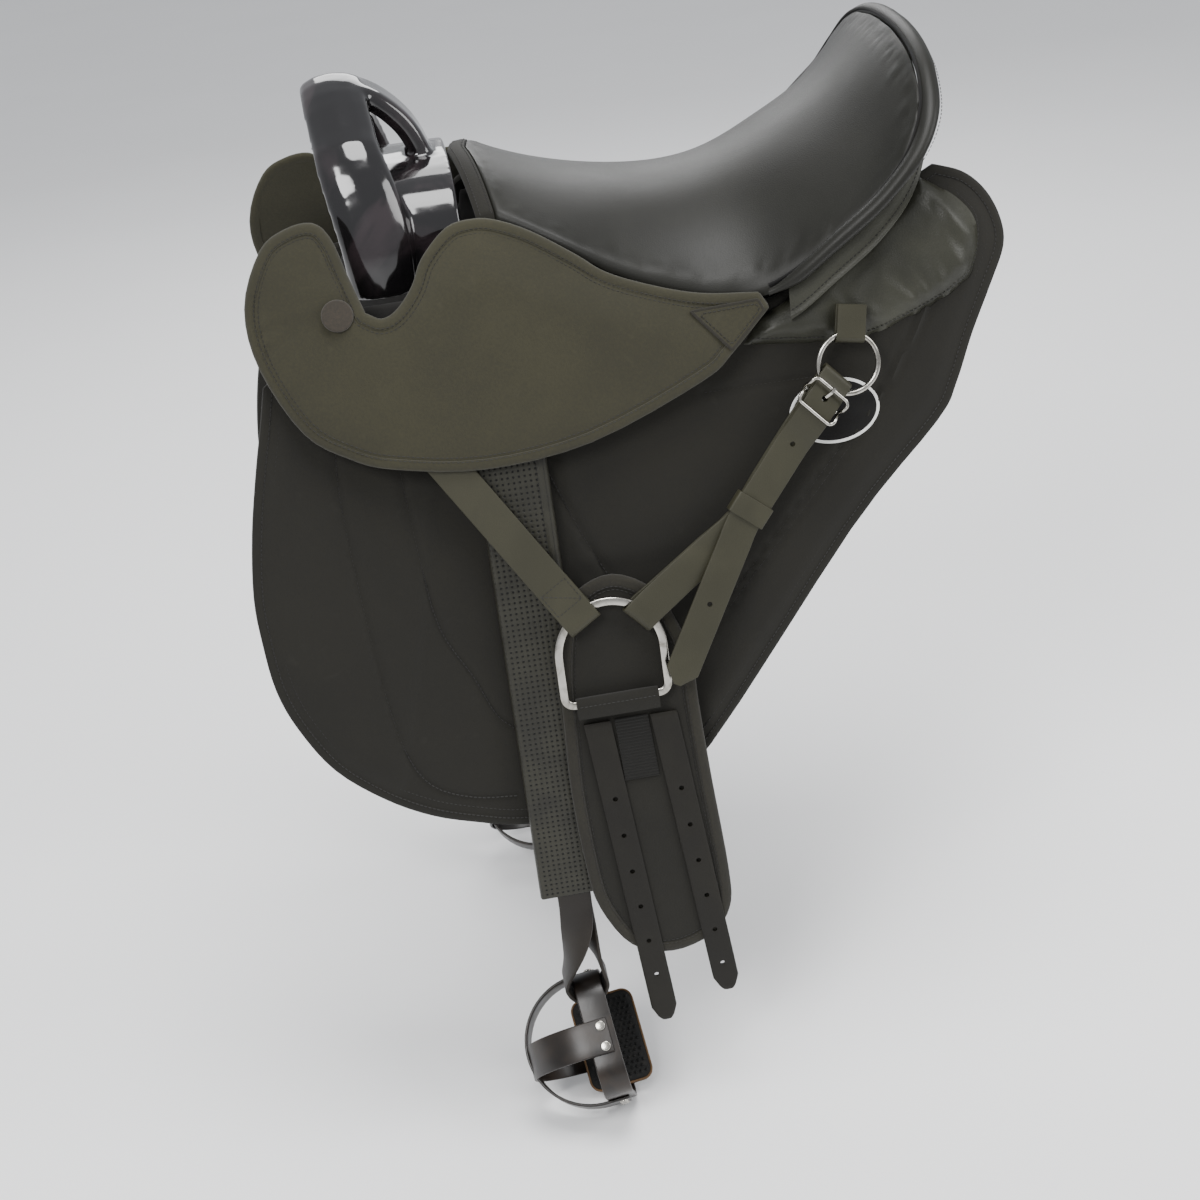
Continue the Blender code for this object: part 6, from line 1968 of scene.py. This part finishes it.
class SADDLE_OT_seat(bpy.types.Operator):
    """Make the seat's cover and the strip along its front"""

    bl_idname = "saddle.seat"
    bl_label = "Seat"

    def execute(self, context):
        build_seat()
        return {"FINISHED"}


class SADDLE_OT_cantle(bpy.types.Operator):
    """Make the welt, piping and binding round the cantle"""

    bl_idname = "saddle.cantle"
    bl_label = "Cantle"

    def execute(self, context):
        build_cantle()
        return {"FINISHED"}


class SADDLE_OT_handle(bpy.types.Operator):
    """Make the moulded pommel handle"""

    bl_idname = "saddle.handle"
    bl_label = "Pommel Handle"

    def execute(self, context):
        build_handle()
        return {"FINISHED"}


class SADDLE_OT_upper_flaps(bpy.types.Operator):
    """Make the upper flaps with their tape, button and corner piece"""

    bl_idname = "saddle.upper_flaps"
    bl_label = "Upper Flaps"

    def execute(self, context):
        build_upper_flaps()
        return {"FINISHED"}


class SADDLE_OT_lower_flaps(bpy.types.Operator):
    """Make the padded lower flaps with their seams and patch"""

    bl_idname = "saddle.lower_flaps"
    bl_label = "Lower Flaps"

    def execute(self, context):
        build_lower_flaps()
        return {"FINISHED"}


class SADDLE_OT_rear_covers(bpy.types.Operator):
    """Make the wrinkled leather covers behind the seat and the panels under the tree"""

    bl_idname = "saddle.rear_covers"
    bl_label = "Rear Covers and Panels"

    def execute(self, context):
        build_rear_covers()
        return {"FINISHED"}


class SADDLE_OT_girth_straps(bpy.types.Operator):
    """Make the girth pads, straps and elastic"""

    bl_idname = "saddle.girth_straps"
    bl_label = "Girth Straps"

    def execute(self, context):
        build_girth_straps()
        return {"FINISHED"}


class SADDLE_OT_rigging(bpy.types.Operator):
    """Make the rings, buckle, keeper and rigging straps"""

    bl_idname = "saddle.rigging"
    bl_label = "Rigging"

    def execute(self, context):
        build_rigging()
        return {"FINISHED"}


class SADDLE_OT_leathers(bpy.types.Operator):
    """Make the stirrup leathers and their embossed sleeves"""

    bl_idname = "saddle.leathers"
    bl_label = "Stirrup Leathers"

    def execute(self, context):
        build_leathers()
        return {"FINISHED"}


class SADDLE_OT_stirrups(bpy.types.Operator):
    """Make the stirrups with their treads, cages and rivets"""

    bl_idname = "saddle.stirrups"
    bl_label = "Stirrups"

    def execute(self, context):
        build_stirrups()
        return {"FINISHED"}


class SADDLE_OT_stage(bpy.types.Operator):
    """Make the floor, the lights and the camera"""

    bl_idname = "saddle.stage"
    bl_label = "Stage"

    def execute(self, context):
        build_stage(context.scene.saddle_looks)
        return {"FINISHED"}


OPERATORS = [
    SADDLE_OT_finishes, SADDLE_OT_seat, SADDLE_OT_cantle, SADDLE_OT_handle,
    SADDLE_OT_upper_flaps, SADDLE_OT_lower_flaps, SADDLE_OT_rear_covers, SADDLE_OT_girth_straps,
    SADDLE_OT_rigging, SADDLE_OT_leathers, SADDLE_OT_stirrups, SADDLE_OT_stage,
]


class SADDLE_PT_build(bpy.types.Panel):
    """Sizes, colours and pieces of the saddle"""

    bl_idname = "SADDLE_PT_build"
    bl_label = "Trail Saddle"
    bl_space_type = "VIEW_3D"
    bl_region_type = "UI"
    bl_category = "Saddle"

    def draw(self, context):
        looks = context.scene.saddle_looks
        stitching = context.scene.saddle_stitching
        for name in ("flap", "under", "seat", "strap", "light", "surround"):
            self.layout.prop(looks, name)
        for name in ("pitch", "length"):
            self.layout.prop(stitching, name)
        for made in OPERATORS:
            self.layout.operator(made.bl_idname)


CLASSES = [SaddleLooks, SaddleStitching, *OPERATORS, SADDLE_PT_build]


def register():
    for made in CLASSES:
        bpy.utils.register_class(made)
    bpy.types.Scene.saddle_looks = bpy.props.PointerProperty(type=SaddleLooks)
    bpy.types.Scene.saddle_stitching = bpy.props.PointerProperty(type=SaddleStitching)


def unregister():
    del bpy.types.Scene.saddle_looks
    del bpy.types.Scene.saddle_stitching
    for made in reversed(CLASSES):
        bpy.utils.unregister_class(made)


def main():
    register()
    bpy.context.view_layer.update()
    bpy.ops.saddle.finishes()
    bpy.ops.saddle.seat()
    bpy.ops.saddle.cantle()
    bpy.ops.saddle.handle()
    bpy.ops.saddle.upper_flaps()
    bpy.ops.saddle.lower_flaps()
    bpy.ops.saddle.rear_covers()
    bpy.ops.saddle.girth_straps()
    bpy.ops.saddle.rigging()
    bpy.ops.saddle.leathers()
    bpy.ops.saddle.stirrups()
    bpy.ops.saddle.stage()


if __name__ == "__main__":
    main()
